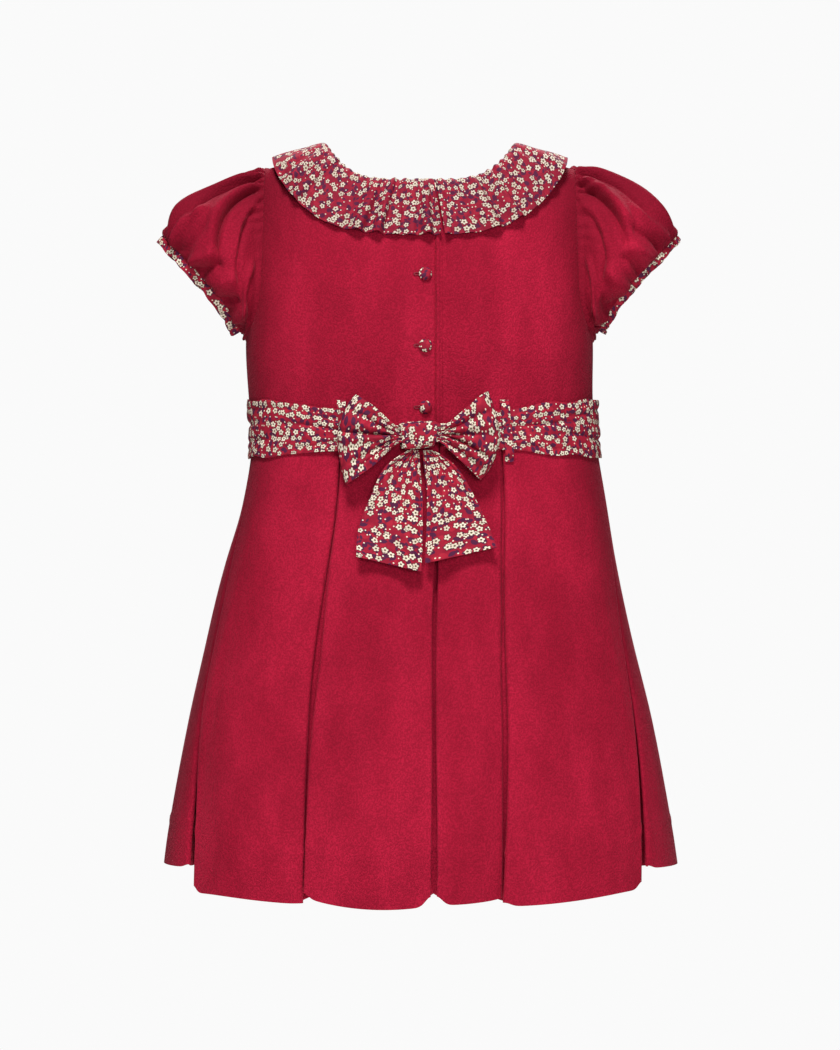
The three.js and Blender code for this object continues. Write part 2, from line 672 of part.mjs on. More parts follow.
function beltLoop(side) {
  const rows = [];
  for (let r = 0; r <= LOOP_ROWS; r += 1) {
    const v = r / LOOP_ROWS;
    const z = lerp(LOOP.top, LOOP.bottom, v);
    const up = smooth(0, LOOP_LIFT, v) * (1 - smooth(LOOP_LAND.from, LOOP_LAND.to, v));
    const out = lerp(LOOP.end, LOOP.out, up);
    rows.push([-1, 0, 1].map((w) => formPoint(z, side * (LOOP.angle + w * LOOP.half), out)));
  }
  return wall(rows, LAWN);
}

const KNOT = { x: -0.5, y: -74.4, z: -207.5, half: 16, high: 10, deep: 7.4 };
const KNOT_SWELL = 0.12;     // share by which the knot is fatter in its middle
const KNOT_FOLD = { high: 0.04, count: 5, twist: 2 };
const KNOT_LEAN = 0.8;
const KNOT_COLUMNS = 18;

function bowKnot() {
  const rows = [-1, -0.5, 0, 0.5, 1].map((u) => {
    const row = [];
    const swell = 1 - KNOT_SWELL * u * u;
    for (let i = 0; i < KNOT_COLUMNS; i += 1) {
      const angle = (2 * Math.PI * i) / KNOT_COLUMNS;
      const crease = 1 - KNOT_FOLD.high * Math.cos(KNOT_FOLD.count * angle + KNOT_FOLD.twist * u);
      row.push(v3(KNOT.x + KNOT.half * u + KNOT_LEAN * Math.sin(angle),
        KNOT.y - KNOT.deep * swell * crease * Math.sin(angle),
        KNOT.z + KNOT.high * swell * crease * Math.cos(angle)));
    }
    return row;
  });
  return wall(rows, LAWN, { ring: true });
}

// Bow loops: reach out from the knot, half height in the knot and outside, sag and tilt.
const BOW = {
  left: { side: -1, reach: 51, pinch: 5.6, high: 35.5, sag: 1, tilt: 0 },
  right: { side: 1, reach: 50, pinch: 4.6, high: 32, sag: 2, tilt: -3 },
};
// The loop's ends lie side by side in the knot; out of it, the back-facing layer swells more.
const LOOP_START = 9;
const LOOP_FREE = 18;        // from here on the loop is out of the knot
const LOOP_ROUNDING = 10;    // its far edge falls back by this much at top and bottom
const LOOP_SWELL = { outer: 10, inner: 2.5 };
const LOOP_ENDS = 2;         // half gap between the two ends in the knot
const LOOP_LEAN = 1.5;       // its far edge leans away from the dress
const LOOP_FOLD = { high: 4.4, count: 1.5 };
const FLARE_POWER = 0.9;
const BOW_AROUND = 18;
const BOW_ACROSS = 8;

function bowLoop({ side, reach, pinch, high, sag, tilt }) {
  const rows = [];
  for (let r = 0; r <= BOW_AROUND; r += 1) {
    const turn = (2 * Math.PI * r) / BOW_AROUND;
    const out = (1 - Math.cos(turn)) / 2;
    const outer = Math.sin(turn) > 0;
    const row = [];
    for (let i = 0; i <= BOW_ACROSS; i += 1) {
      const w = (2 * i) / BOW_ACROSS - 1;
      const x = LOOP_START + (reach - LOOP_ROUNDING * w * w) * out;
      const free = clamp((x - LOOP_FREE) / (LOOP_START + reach - LOOP_FREE), 0, 1);
      const half = lerp(pinch, high, Math.sin(deg(90 * free)) ** FLARE_POWER);
      const swell = (outer ? LOOP_SWELL.outer : LOOP_SWELL.inner) * Math.sqrt(free);
      const fold = LOOP_FOLD.high * free * (1 - free) * Math.cos(2 * Math.PI * LOOP_FOLD.count * w);
      const y = KNOT.y - LOOP_ENDS * Math.cos(turn / 2) - Math.sin(turn) * swell
        - fold * Math.max(0, Math.sin(turn)) - LOOP_LEAN * out;
      const lean = tilt * out * (1 - w) / 2;
      row.push(v3(KNOT.x + side * x, y, KNOT.z - sag * out + lean + half * w));
    }
    rows.push(row);
  }
  return wall(rows, LAWN);
}

// Tails of the bow: the length of each edge, and the edges in X down the tail.
const TAILS = {
  left: {
    inner: 89,
    outer: 78,
    edges: [
      { v: 0, inner: -1.2, outer: -9 },
      { v: 0.15, inner: 0, outer: -25 },
      { v: 0.4, inner: 2, outer: -35 },
      { v: 0.75, inner: 1.8, outer: -45 },
      { v: 1, inner: 0.8, outer: -46.5 },
    ],
  },
  right: {
    inner: 83,
    outer: 71,
    edges: [
      { v: 0, inner: 2, outer: 10 },
      { v: 0.15, inner: 3.2, outer: 25 },
      { v: 0.4, inner: 5, outer: 37 },
      { v: 0.75, inner: 4.6, outer: 49 },
      { v: 1, inner: 3.8, outer: 56.5 },
    ],
  },
};
const TAIL_TOP = KNOT.z - KNOT.high - 1.2;
// Waves across a tail, their height at its top and its end, and how they drift on the way down.
const TAIL_WAVE = { count: 2.5, top: 0.8, end: 4.2, drift: 0.6 };
const TAIL_END_OUT = ON_CLOTH + 1;
const TAIL_LAND = 0.8;       // share of its length over which a tail comes in to the skirt
const TAIL_ROWS = 7;
const TAIL_COLUMNS = 10;

function bowTail({ inner: innerLong, outer: outerLong, edges }) {
  const rows = [];
  for (let r = 0; r <= TAIL_ROWS; r += 1) {
    const v = r / TAIL_ROWS;
    const inner = read(edges, 'v', 'inner', v);
    const outer = read(edges, 'v', 'outer', v);
    const row = [];
    for (let i = 0; i <= TAIL_COLUMNS; i += 1) {
      const u = i / TAIL_COLUMNS;
      const x = lerp(inner, outer, u);
      const z = TAIL_TOP - v * lerp(innerLong, outerLong, u);
      const turn = 2 * Math.PI * TAIL_WAVE.count * u + TAIL_WAVE.drift * v;
      const wave = (0.5 - 0.5 * Math.cos(turn)) * lerp(TAIL_WAVE.top, TAIL_WAVE.end, v);
      const gap = lerp(-KNOT.y - depthAt(x, TAIL_TOP), TAIL_END_OUT, smooth(0, TAIL_LAND, v));
      row.push(v3(x, -depthAt(x, z) - gap - wave, z));
    }
    rows.push(row);
  }
  return wall(rows, LAWN);
}

// Buttons.

const BUTTON_X = 4;
const BUTTONS = { button_top: -88, button_middle: -141, button_bottom: -186.5 };

// Radius and height of a covered button's dome.
const BUTTON_OUTLINE = [
  [0, 0], [3.6, 0], [4.8, 0.7], [5, 1.6], [4.4, 2.9], [2.9, 3.9], [1.2, 4.3], [0, 4.35],
];
const BUTTON_SIDES = 14;

function button(z) {
  const outline = BUTTON_OUTLINE.map(([r, h]) => new THREE.Vector2(r, h));
  const geometry = new THREE.LatheGeometry(outline, BUTTON_SIDES);
  const seat = v3(BUTTON_X, -depthAt(BUTTON_X, z) - SEAM / 2, z);
  const n = formNormal(seat);
  const turn = new THREE.Quaternion().setFromUnitVectors(v3(0, 1, 0), n);
  seat.addScaledVector(n, VELVET / 2 + SEAM);
  return geometry.applyQuaternion(turn).translate(seat.x, seat.y, seat.z);
}

// The dress.

const cloth = (color, roughness) => new THREE.MeshStandardMaterial({ color, roughness, metalness: 0 });
const velvet = cloth('#a81c36', 0.85);
const print = cloth('#b0384a', 0.75);

const group = new THREE.Group();
group.name = 'toddler_party_dress';

function add(name, geometry, material) {
  const mesh = new THREE.Mesh(geometry, material);
  mesh.name = name;
  group.add(mesh);
}

add('bodice_front', bodiceFront(), velvet);
add('bodice_back_left', bodiceBackLeft(), velvet);
add('bodice_back_right', bodiceBackRight(), velvet);
add('sleeve_left', sleeve(-1), velvet);
add('sleeve_right', sleeve(1), velvet);
add('skirt_back', skirt(SIDE_LEFT, PLEATS.length - 1), velvet);
add('skirt_front', skirt(0, SIDE_LEFT), velvet);
add('neck_binding', neckBinding(), print);
add('collar_left', collar(180 + FRONT_SPLIT, 360 + turnOfX(COLLAR_END.left)), print);
add('collar_right', collar(turnOfX(COLLAR_END.right), 180 - FRONT_SPLIT), print);
add('cuff_left', cuff(-1), print);
add('cuff_right', cuff(1), print);
add('sash_band', sashBand(), print);
add('belt_loop_left', beltLoop(-1), print);
add('belt_loop_right', beltLoop(1), print);
add('bow_loop_left', bowLoop(BOW.left), print);
add('bow_loop_right', bowLoop(BOW.right), print);
add('bow_knot', bowKnot(), print);
add('bow_tail_left', bowTail(TAILS.left), print);
add('bow_tail_right', bowTail(TAILS.right), print);
Object.entries(BUTTONS).forEach(([name, z]) => add(name, button(z), print));

export default group;
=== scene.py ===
# %% [markdown]
# # A toddler's party dress
# The dress is crimson velvet with a printed ruffle collar, cuffs, sash and covered buttons.
# It stands filled out, as if worn. The CAD solids say where every piece lies; here each piece
# gets its fine surface, its creases and its cloth.

# %% Load the frame
import math
import bpy
import numpy as np
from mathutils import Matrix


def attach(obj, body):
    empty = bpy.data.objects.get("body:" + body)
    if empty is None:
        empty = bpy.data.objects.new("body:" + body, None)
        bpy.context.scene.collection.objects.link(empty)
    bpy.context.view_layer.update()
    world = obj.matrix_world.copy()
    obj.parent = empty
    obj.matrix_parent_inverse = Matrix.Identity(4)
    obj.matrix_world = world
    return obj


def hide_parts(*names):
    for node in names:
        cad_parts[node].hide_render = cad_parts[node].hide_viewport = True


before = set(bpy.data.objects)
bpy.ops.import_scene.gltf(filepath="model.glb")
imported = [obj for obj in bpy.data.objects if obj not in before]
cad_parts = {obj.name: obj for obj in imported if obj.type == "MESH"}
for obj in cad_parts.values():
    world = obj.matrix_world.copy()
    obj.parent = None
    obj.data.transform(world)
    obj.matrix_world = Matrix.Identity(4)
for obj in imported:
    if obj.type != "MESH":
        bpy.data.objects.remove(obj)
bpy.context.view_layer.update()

MM = 0.001
print("CAD nodes:", len(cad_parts))

# %% [markdown]
# ## Camera and stage
# The photo is taken level with the middle of the frame, from a little over two metres. One
# photo pixel is 0.76 mm in the plane of the side seams, which gives the lens.

# %% Camera
PHOTO_HIGH = 1050
MM_PER_PIXEL = 0.76
CAMERA_FAR = 2.3
CAMERA_Z = -0.2736
SENSOR = 36

bpy.ops.object.select_all(action="DESELECT")
bpy.ops.object.camera_add(location=(0, -CAMERA_FAR, CAMERA_Z), rotation=(math.pi / 2, 0, 0))
camera = bpy.context.object
camera.data.sensor_fit = "VERTICAL"
camera.data.sensor_height = SENSOR
camera.data.lens = SENSOR * CAMERA_FAR / (PHOTO_HIGH * MM_PER_PIXEL * MM)
bpy.context.scene.camera = camera
print("lens", round(camera.data.lens, 1), "mm")

# %% [markdown]
# The floor is a pale disc as far below the shoulders as a small child's feet would be. It is
# low enough to stay under the frame of the photo, where the dress hangs in white. The white
# of the backdrop is stronger than the light it sheds, so the folds keep their shade.

# %% Floor and backdrop
FLOOR_Z = -1.0
bpy.ops.mesh.primitive_circle_add(vertices=96, radius=1.6, fill_type="NGON", location=(0, 0, FLOOR_Z))
floor = bpy.context.object
floor.name = "floor"

world = bpy.data.worlds.new("studio")
bpy.context.scene.world = world
world.use_nodes = True
BACKDROP = 0.957
AMBIENT = 0.14
sky = world.node_tree
seen = sky.nodes["Background"]
seen.inputs["Color"].default_value = (1, 1, 1, 1)
seen.inputs["Strength"].default_value = BACKDROP
shed = sky.nodes.new("ShaderNodeBackground")
shed.inputs["Strength"].default_value = AMBIENT
path = sky.nodes.new("ShaderNodeLightPath")
choose = sky.nodes.new("ShaderNodeMixShader")
sky.links.new(path.outputs["Is Camera Ray"], choose.inputs[0])
sky.links.new(shed.outputs[0], choose.inputs[1])
sky.links.new(seen.outputs[0], choose.inputs[2])
sky.links.new(choose.outputs[0], sky.nodes["World Output"].inputs["Surface"])
bpy.context.scene.view_settings.view_transform = "Standard"


# %% Lights
def studio_light(name, place, size, power, aim=(0, 0, -0.3)):
    """A soft area light at a place, turned to look at a point of the dress."""
    bpy.ops.object.light_add(type="AREA", location=place)
    light = bpy.context.object
    light.name = name
    light.data.shape = "DISK"
    light.data.size = size
    light.data.energy = power
    away = light.location - type(light.location)(aim)
    light.rotation_euler = away.to_track_quat("Z", "Y").to_euler()
    return light


studio_light("key", (-0.15, -1.2, 1.55), 0.6, 48)
studio_light("fill", (0.35, -2.5, 0.1), 0.9, 27)
studio_light("front_key", (0.15, 1.2, 1.55), 0.6, 46)
studio_light("front_fill", (-0.35, 2.5, 0.1), 0.9, 27)

# %% [markdown]
# ## The form
# Every panel lies on one form: rings of a given half width and half depth, a little boxier
# than ellipses, that close over towards the shoulder line. The same few numbers drive the
# CAD solids, so a panel made here lands on its solid. All of this is worked in millimetres.

# %% Rings of the form
SQUARE = 2.25
FORM_Z = np.array([-550, -521, -437, -367, -307, -262, -209, -179, -135, -60, 20.0])
FORM_WIDE = np.array([191, 187.5, 174.5, 159.5, 147, 138, 130, 129.5, 131, 129, 127.0])
FORM_DEEP = np.array([115, 112, 102, 91, 81, 71, 62, 62.5, 65, 61, 56.0])
FORM_LEAN = np.array([1, 0.8, 0, 0, 1.5, 3.6, 3.2, 0.8, 0, 0, 0.0])


def smooth_read(at, xs, ys):
    """Reads a table along a smooth curve through its points."""
    slopes = np.empty_like(ys)
    slopes[1:-1] = (ys[2:] - ys[:-2]) / (xs[2:] - xs[:-2])
    slopes[0] = (ys[1] - ys[0]) / (xs[1] - xs[0])
    slopes[-1] = (ys[-1] - ys[-2]) / (xs[-1] - xs[-2])
    i = np.clip(np.searchsorted(xs, at) - 1, 0, len(xs) - 2)
    run = xs[i + 1] - xs[i]
    t = np.clip((at - xs[i]) / run, 0, 1)
    return ((2 * t**3 - 3 * t**2 + 1) * ys[i] + (t**3 - 2 * t**2 + t) * run * slopes[i]
            + (3 * t**2 - 2 * t**3) * ys[i + 1] + (t**3 - t**2) * run * slopes[i + 1])


def wide(z):
    return smooth_read(z, FORM_Z, FORM_WIDE)


def deep(z):
    return smooth_read(z, FORM_Z, FORM_DEEP)


def lean(z):
    return smooth_read(z, FORM_Z, FORM_LEAN)


def lerp(a, b, t):
    return a + (b - a) * t


def ease(lo, hi, v):
    t = np.clip((v - lo) / (hi - lo), 0, 1)
    return t * t * (3 - 2 * t)


def stack(x, y, z):
    return np.stack(np.broadcast_arrays(x, y, z), axis=-1).astype(float)


# %% Shoulders and neck
ROOF_Z = -110
SHOULDER_TOP = 11.75
SHOULDER_FALL = 0.00117
NECK_X = 73
BACK_NECK_Z, BACK_NECK_POWER = -26, 4.5
FRONT_NECK_Z, FRONT_NECK_POWER = -50, 2.4
SEAM = 0.3


def shoulder_z(x):
    return SHOULDER_TOP - SHOULDER_FALL * x * x


def depth_at(x, z):
    """Half depth of the dress at a place seen from the back."""
    side = 1 - np.clip(np.abs(x - lean(z)) / wide(z), 0, 1) ** SQUARE
    roof = 1 - np.clip((z - ROOF_Z) / (shoulder_z(x) - ROOF_Z), 0, 1) ** SQUARE
    return deep(z) * (side * roof) ** (1 / SQUARE)


def outside(p):
    """Below zero inside the form, zero on it, more outside."""
    x, y, z = p[..., 0], p[..., 1], p[..., 2]
    side = 1 - (np.abs(x - lean(z)) / wide(z)) ** SQUARE
    t = np.maximum(0, (z - ROOF_Z) / (shoulder_z(x) - ROOF_Z))
    return (np.abs(y) / deep(z)) ** SQUARE - side * (1 - t**SQUARE)


def form_slope(p):
    step = 0.01
    parts = []
    for axis in range(3):
        move = np.zeros(3)
        move[axis] = step
        parts.append((outside(p + move) - outside(p - move)) / (2 * step))
    return np.stack(parts, axis=-1)


def unit(v):
    return v / np.maximum(np.linalg.norm(v, axis=-1, keepdims=True), 1e-12)


def form_normal(p):
    return unit(form_slope(p))


def onto_form(p):
    for _ in range(4):
        slope = form_slope(p)
        p = p - slope * (outside(p) / np.sum(slope * slope, axis=-1))[..., None]
    return p


def along_form(v, n):
    """The part of a direction that runs along the surface."""
    return unit(v - n * np.sum(v * n, axis=-1, keepdims=True))


def top_z(x, front):
    low, power = (FRONT_NECK_Z, FRONT_NECK_POWER) if front else (BACK_NECK_Z, BACK_NECK_POWER)
    edge = lerp(low, shoulder_z(NECK_X), (np.minimum(np.abs(x), NECK_X) / NECK_X) ** power)
    return np.where(np.abs(x) >= NECK_X, shoulder_z(x), edge)


# %% [markdown]
# ## Cloth
# Each piece of cloth starts as a flat grid, as it lies on the cutting table. Its points are
# put on the form, soft creases lift or sink them along the surface, and a Solidify modifier
# gives the cloth its thickness. The grid's own UV map keeps the size of the cut in metres,
# so a print on it bends and gathers with the cloth.

# %% Cloth helper
VELVET = 1.4
LAWN = 0.8
CUT_STEP = np.array([0.217, 0.141])   # each piece is cut from another place of the cloth
cut_sizes = {}


def grid_normals(points, ring):
    """Surface directions of a grid of points, rows by columns."""
    if ring:
        along = np.roll(points[:, :-1], -1, axis=1) - np.roll(points[:, :-1], 1, axis=1)
        along = np.concatenate([along, along[:, :1]], axis=1)
    else:
        along = np.gradient(points, axis=1)
    across = np.gradient(points, axis=0)
    return unit(np.cross(along, across))


def cloth(name, columns, rows, place, wall, ring=False, lift=None, flip=False):
    """Shapes a flat grid into one piece of cloth. place(u, v) gives points in millimetres."""
    bpy.ops.object.select_all(action="DESELECT")
    bpy.ops.mesh.primitive_grid_add(x_subdivisions=columns, y_subdivisions=rows, size=1)
    piece = bpy.context.object
    piece.name = name
    mesh = piece.data
    flat = np.empty(len(mesh.vertices) * 3)
    mesh.vertices.foreach_get("co", flat)
    flat = flat.reshape(-1, 3) + 0.5
    column = np.rint(flat[:, 0] * columns).astype(int)
    row = np.rint(flat[:, 1] * rows).astype(int)
    u, v = np.meshgrid(np.linspace(0, 1, columns + 1), np.linspace(0, 1, rows + 1))
    points = place(u, v)
    if ring:
        points[:, -1] = points[:, 0]
    if lift is not None:
        normals = grid_normals(points, ring)
        points = points + normals * lift(u, v, points)[..., None] * (-1 if flip else 1)
        if ring:
            points[:, -1] = points[:, 0]
    mesh.vertices.foreach_set("co", (points[row, column] * MM).ravel())

    wide_steps = np.linalg.norm(np.diff(points, axis=1), axis=-1).mean(axis=0)
    long_steps = np.linalg.norm(np.diff(points, axis=0), axis=-1).mean(axis=1)
    across = np.concatenate([[0], np.cumsum(wide_steps)]) * MM
    down = np.concatenate([[0], np.cumsum(long_steps)]) * MM
    cut_from = CUT_STEP * len(cut_sizes)
    corner = np.empty(len(mesh.loops), dtype=int)
    mesh.loops.foreach_get("vertex_index", corner)
    uv = np.stack([across[column[corner]], down[row[corner]]], axis=-1)
    mesh.uv_layers.active.data.foreach_set("uv", (uv + cut_from).ravel())
    mesh.uv_layers.active.name = "cut"
    cut_sizes[name] = (float(across[-1]), float(down[-1]))

    bpy.ops.object.mode_set(mode="EDIT")
    bpy.ops.mesh.select_all(action="SELECT")
    if ring:
        bpy.ops.mesh.remove_doubles(threshold=1e-6)
    bpy.ops.mesh.normals_make_consistent(inside=False)
    bpy.ops.object.mode_set(mode="OBJECT")
    thick = piece.modifiers.new("thickness", "SOLIDIFY")
    thick.thickness = wall * MM
    thick.offset = 0
    bpy.ops.object.modifier_apply(modifier=thick.name)
    bpy.ops.object.shade_smooth_by_angle(angle=math.radians(50))
    print(name, "cut", round(across[-1] * 1000), "x", round(down[-1] * 1000), "mm")
    return piece


# %% [markdown]
# Creases are given one by one: each is a soft ridge or trough along a line on the piece, with
# its own length, width and height, so no two are alike.

# %% Crease helper
def crease(u, v, start, end, half_width, height):
    """A soft ridge (or trough, if height is negative) from start to end in the piece's u, v."""
    start = np.asarray(start, float)
    end = np.asarray(end, float)
    run = end - start
    length = np.hypot(*run)
    du, dv = u - start[0], v - start[1]
    t = (du * run[0] + dv * run[1]) / length**2
    off = np.abs(du * run[1] - dv * run[0]) / length
    fade = ease(-0.12, 0.2, t) * (1 - ease(0.75, 1.15, t))
    return height * fade * np.exp(-((off / half_width) ** 2))


def ripple(p, size, seed):
    """A slow unevenness of about -1 to 1 over a surface, from a few fixed waves."""
    x, y, z = (p[..., k] / size for k in range(3))
    return (np.sin(1.9 * x + 0.7 * z + seed) * np.sin(1.3 * z - 0.8 * y + 2.1 * seed)
            + 0.6 * np.sin(3.1 * y + 2.3 * x + 1.7 * z + 0.6 * seed)) / 1.6


# %% [markdown]
# ## Skirt
# The skirt is one long strip of velvet pressed into inverted pleats. Seen from below its edge
# turns back under each panel and out again beside the next one. The strip is followed along
# that path at every height, and each pleat opens a little more towards the hem.

# %% Pleats
WAIST_Z = -209
HEM_Z = -548
LAYER = 3.1
CLOSED = 0.95
PANEL_BOW = 3.5
TUCK_WAIST, TUCK_HEM = 20, 22
UNDER_WAIST, UNDER_HEM = 6.2, 15
ROLL = 11.0
RING_STEPS = 1440
SIDE_LEFT, SIDE_RIGHT = 63, 59.3


def pleat(waist, hem, middle=2.0, bottom=3.0, sink=(1, 1), rise=(2, 2), panel=(0, -1.5, 0)):
    """Ring angles at waist and hem (0 centre back, 90 the +X side), half openings half way
    down and at the hem, for either side how far its fold sinks and its hem's corner rises,
    and the height of the next panel's hem at its start, middle and end."""
    return dict(waist=waist, hem=hem, middle=middle, bottom=bottom, sink=sink, rise=rise,
                panel=panel)


BACK_PLEATS = [
    pleat(277, 360 - SIDE_LEFT, 3.2, 6.0, sink=(2.5, 0), rise=(2, 5.5), panel=(-3.6, 0.1, -1.1)),
    pleat(334, 335.4, 3.8, 1.0, sink=(5, 0), rise=(0.5, 3.5), panel=(4, -3, -1.2)),
    pleat(363.5, 361.7, 1.3, 2.1, sink=(1.2, 1.6), rise=(6.6, 6.2), panel=(-0.5, 1, 3.5)),
    pleat(383.5, 375.8, 3.4, 1.2, sink=(4.6, 0), rise=(0.3, 2.6), panel=(-1.6, -1.3, -2.5)),
    pleat(443, 360 + SIDE_RIGHT, 3.2, 6.0, sink=(0, 2.5), rise=(5.5, 2)),
]
FRONT_PLEATS = [
    pleat(83, SIDE_RIGHT, 3.2, 6.0, sink=(0, 2.5)),
    pleat(148, 142, 1.8, 1.8, sink=(1.8, 0.4), rise=(1, 3), panel=(1, -1.5, -1)),
    pleat(180, 180, 1.3, 2.2, sink=(1, 1.2), rise=(6.5, 7), panel=(-1, -1.8, 1.5)),
    pleat(212, 218, 2.0, 1.6, sink=(0.4, 2.2), rise=(3, 0.5)),
    pleat(277, 360 - SIDE_LEFT, 3.2, 6.0, sink=(2.5, 0)),
]
CORNER = 5.5


def ring_place(z, angle):
    """Points of the form's rings at heights z and ring angles in degrees."""
    s, c = np.sin(np.radians(angle)), np.cos(np.radians(angle))
    return stack(lean(z) + wide(z) * np.sign(s) * np.abs(s) ** (2 / SQUARE),
                 -deep(z) * np.sign(c) * np.abs(c) ** (2 / SQUARE), z)


def ring_out(p):
    """Level outward directions of the form's rings."""
    y, z = p[..., 1], p[..., 2]
    x = p[..., 0] - lean(z)
    a, b = wide(z), deep(z)
    return unit(stack(np.sign(x) * np.abs(x / a) ** (SQUARE - 1) / a,
                      np.sign(y) * np.abs(y / b) ** (SQUARE - 1) / b, 0 * x))


def hem_lift(angle):
    """How much higher the hem is than at the centre, most of all behind the side pleats."""
    turn = angle % 360
    front = 20 * (1 - ease(5, 55, np.abs(turn % 180 - 90)))
    right = 8.5 * ease(18, SIDE_RIGHT, turn) + 11.5 * ease(SIDE_RIGHT - 2.6, SIDE_RIGHT + 2.6, turn)
    from_left = 360 - turn
    left = 6 * ease(28, SIDE_LEFT, from_left) + 14 * ease(SIDE_LEFT - 2.6, SIDE_LEFT + 2.6, from_left)
    return np.where(turn <= 90, right, np.where(turn >= 270, left, front))


def half_pleat(opening, tuck, under):
    """One half of a pleat: distance from its line and depth, from the fold to the underlay."""
    r = LAYER / 2
    turn = np.linspace(math.pi / 2, 3 * math.pi / 2, 8)
    fold = np.stack([opening + r + r * np.cos(turn), r - r * np.sin(turn)], axis=-1)
    back = np.linspace(math.pi / 2, -math.pi / 2, 7)
    inner = np.stack([tuck - r + r * np.cos(back), under - r - r * np.sin(back)], axis=-1)
    flat = np.linspace(0, 1, 5)[1:-1, None]
    middle = fold[-1] + (inner[0] - fold[-1]) * flat
    rest = inner[-1] + (np.array([0, under]) - inner[-1]) * np.linspace(0, 1, 4)[1:-1, None]
    return np.concatenate([fold, middle, inner, rest])


def skirt_row(pleats, down):
    """One row of the folded strip: ring lengths, depths and hem rises, and its ring."""
    z = lerp(WAIST_Z - SEAM, HEM_Z, down)
    angles = np.linspace(0, 450, RING_STEPS + 1)
    ring = ring_place(np.full_like(angles, z), angles)
    run = np.concatenate([[0], np.cumsum(np.linalg.norm(np.diff(ring, axis=0), axis=-1))])
    tuck = lerp(TUCK_WAIST, TUCK_HEM, down)
    under = lerp(UNDER_WAIST, UNDER_HEM, down**1.3)
    lines, halves = [], []
    for k, p in enumerate(pleats):
        wander = 0.9 * math.sin(5.3 * down + 1.7 * k) * down
        opening = np.interp(down, (0, 0.5, 1), (CLOSED, p["middle"], p["bottom"]))
        lines.append(np.interp(lerp(p["waist"], p["hem"], down), angles, run) + wander)
        halves.append(half_pleat(opening, tuck, under))

    where, depth, rise = [], [], []
    strength = 0.3 + 0.7 * down

    def add(at, base, sunk, risen):
        where.append(at)
        depth.append(base + strength * sunk)
        rise.append(risen)

    for k, p in enumerate(pleats):
        first, last = k == 0, k == len(pleats) - 1
        far, layer = halves[k][:, 0], halves[k][:, 1]
        cling = np.exp(-(far - far.min()) / ROLL) * (1 - ease(len(far) * 0.6, len(far), np.arange(len(far))))
        if not first:
            add(lines[k] - far, layer, p["sink"][0] * cling,
                pleats[k - 1]["panel"][2] + p["rise"][0] * np.exp(-(((far - far.min()) / CORNER) ** 2)))
        middle = SEAM / 2 if first else -SEAM / 2 if last else 0
        add(np.array([lines[k] + middle]), np.array([under]), 0, np.array([np.mean(p["rise"])]))
        if last:
            continue
        add(lines[k] + far[::-1], layer[::-1], p["sink"][1] * cling[::-1],
            p["panel"][0] + p["rise"][1] * np.exp(-(((far[::-1] - far.min()) / CORNER) ** 2)))
        after = pleats[k + 1]
        start, end = lines[k] + far[0], lines[k + 1] - halves[k + 1][0, 0]
        t = np.linspace(0, 1, PANEL_COLUMNS + 1)[1:-1]
        t = lerp(t, 0.5 - 0.5 * np.cos(math.pi * t), 0.55)
        at = lerp(start, end, t)
        from_start, to_end = at - start, end - at
        add(at, -PANEL_BOW * down * np.sin(math.pi * t),
            p["sink"][1] * np.exp(-(from_start + LAYER / 2) / ROLL)
            + after["sink"][0] * np.exp(-(to_end + LAYER / 2) / ROLL),
            p["rise"][1] * np.exp(-(((from_start + LAYER / 2) / CORNER) ** 2))
            + after["rise"][0] * np.exp(-(((to_end + LAYER / 2) / CORNER) ** 2))
            + p["panel"][0] * (1 - t) * (1 - 2 * t) + 4 * p["panel"][1] * t * (1 - t)
            + p["panel"][2] * t * (2 * t - 1))
    return z, np.concatenate(where), np.concatenate(depth), np.concatenate(rise), angles, run


def skirt_points(pleats, v):
    """All rows of a skirt part; v runs from waist (0) to hem (1)."""
    rows = []
    for down in v:
        z, where, depth, rise, angles, run = skirt_row(pleats, down)
        angle = np.interp(where, run, angles)
        points = ring_place(np.full_like(angle, z), angle)
        points = points - ring_out(points) * depth[:, None]
        points[:, 2] = lerp(WAIST_Z - SEAM, HEM_Z + hem_lift(angle) + rise, down)
        rows.append(points)
    return np.array(rows)


# %% Skirt parts
SKIRT_ROWS = 110
PANEL_COLUMNS = 42


def skirt_part(name, pleats, seed):
    columns = len(skirt_points(pleats, [0.5])[0]) - 1

    def place(u, v):
        return skirt_points(pleats, v[:, 0])

    def lift(u, v, p):
        drape = 1.5 * ripple(p * [1, 1, 0.3], 34, seed) * ease(0.03, 0.4, v)
        hem_line = (-0.55 - 0.3 * np.sin(41 * u + seed)) * np.exp(-(((v - 0.895) / 0.007) ** 2))
        return drape + hem_line

    return cloth(name, columns, SKIRT_ROWS, place, VELVET, lift=lift)


skirt_back = skirt_part("velvet_skirt_back", BACK_PLEATS, 0.4)
skirt_front = skirt_part("velvet_skirt_front", FRONT_PLEATS, 2.2)

# %% [markdown]
# ## Bodice
# Three panels: the front, and two back panels that lap at the placket. Each panel is a grid
# whose columns end at the neck or the shoulder seam and whose last column runs up the side
# seam and round the armhole.

# %% Bodice panels
UNDERARM_Z = -135
ARMHOLE_CURVE = 42
ARM_BACK, ARM_FRONT = 65, 61
PLACKET_X = 16.3
UNDERLAP_X = -6
BODICE_Z = WAIST_Z + SEAM / 2 + 0.05
SHOULDER_POINT_Z = float(shoulder_z(118))
UNDERARM_SHARE = (UNDERARM_Z - BODICE_Z) / (SHOULDER_POINT_Z - BODICE_Z)


def row_share(v):
    """Height share of a panel row: even below the underarm, closer over the shoulder."""
    split = 0.36
    up = np.clip((v - split) / (1 - split), 0, 1)
    high = lerp(UNDERARM_SHARE, 1, np.sin(0.5 * math.pi * up**1.15))
    return np.where(v <= split, UNDERARM_SHARE * v / split, high)


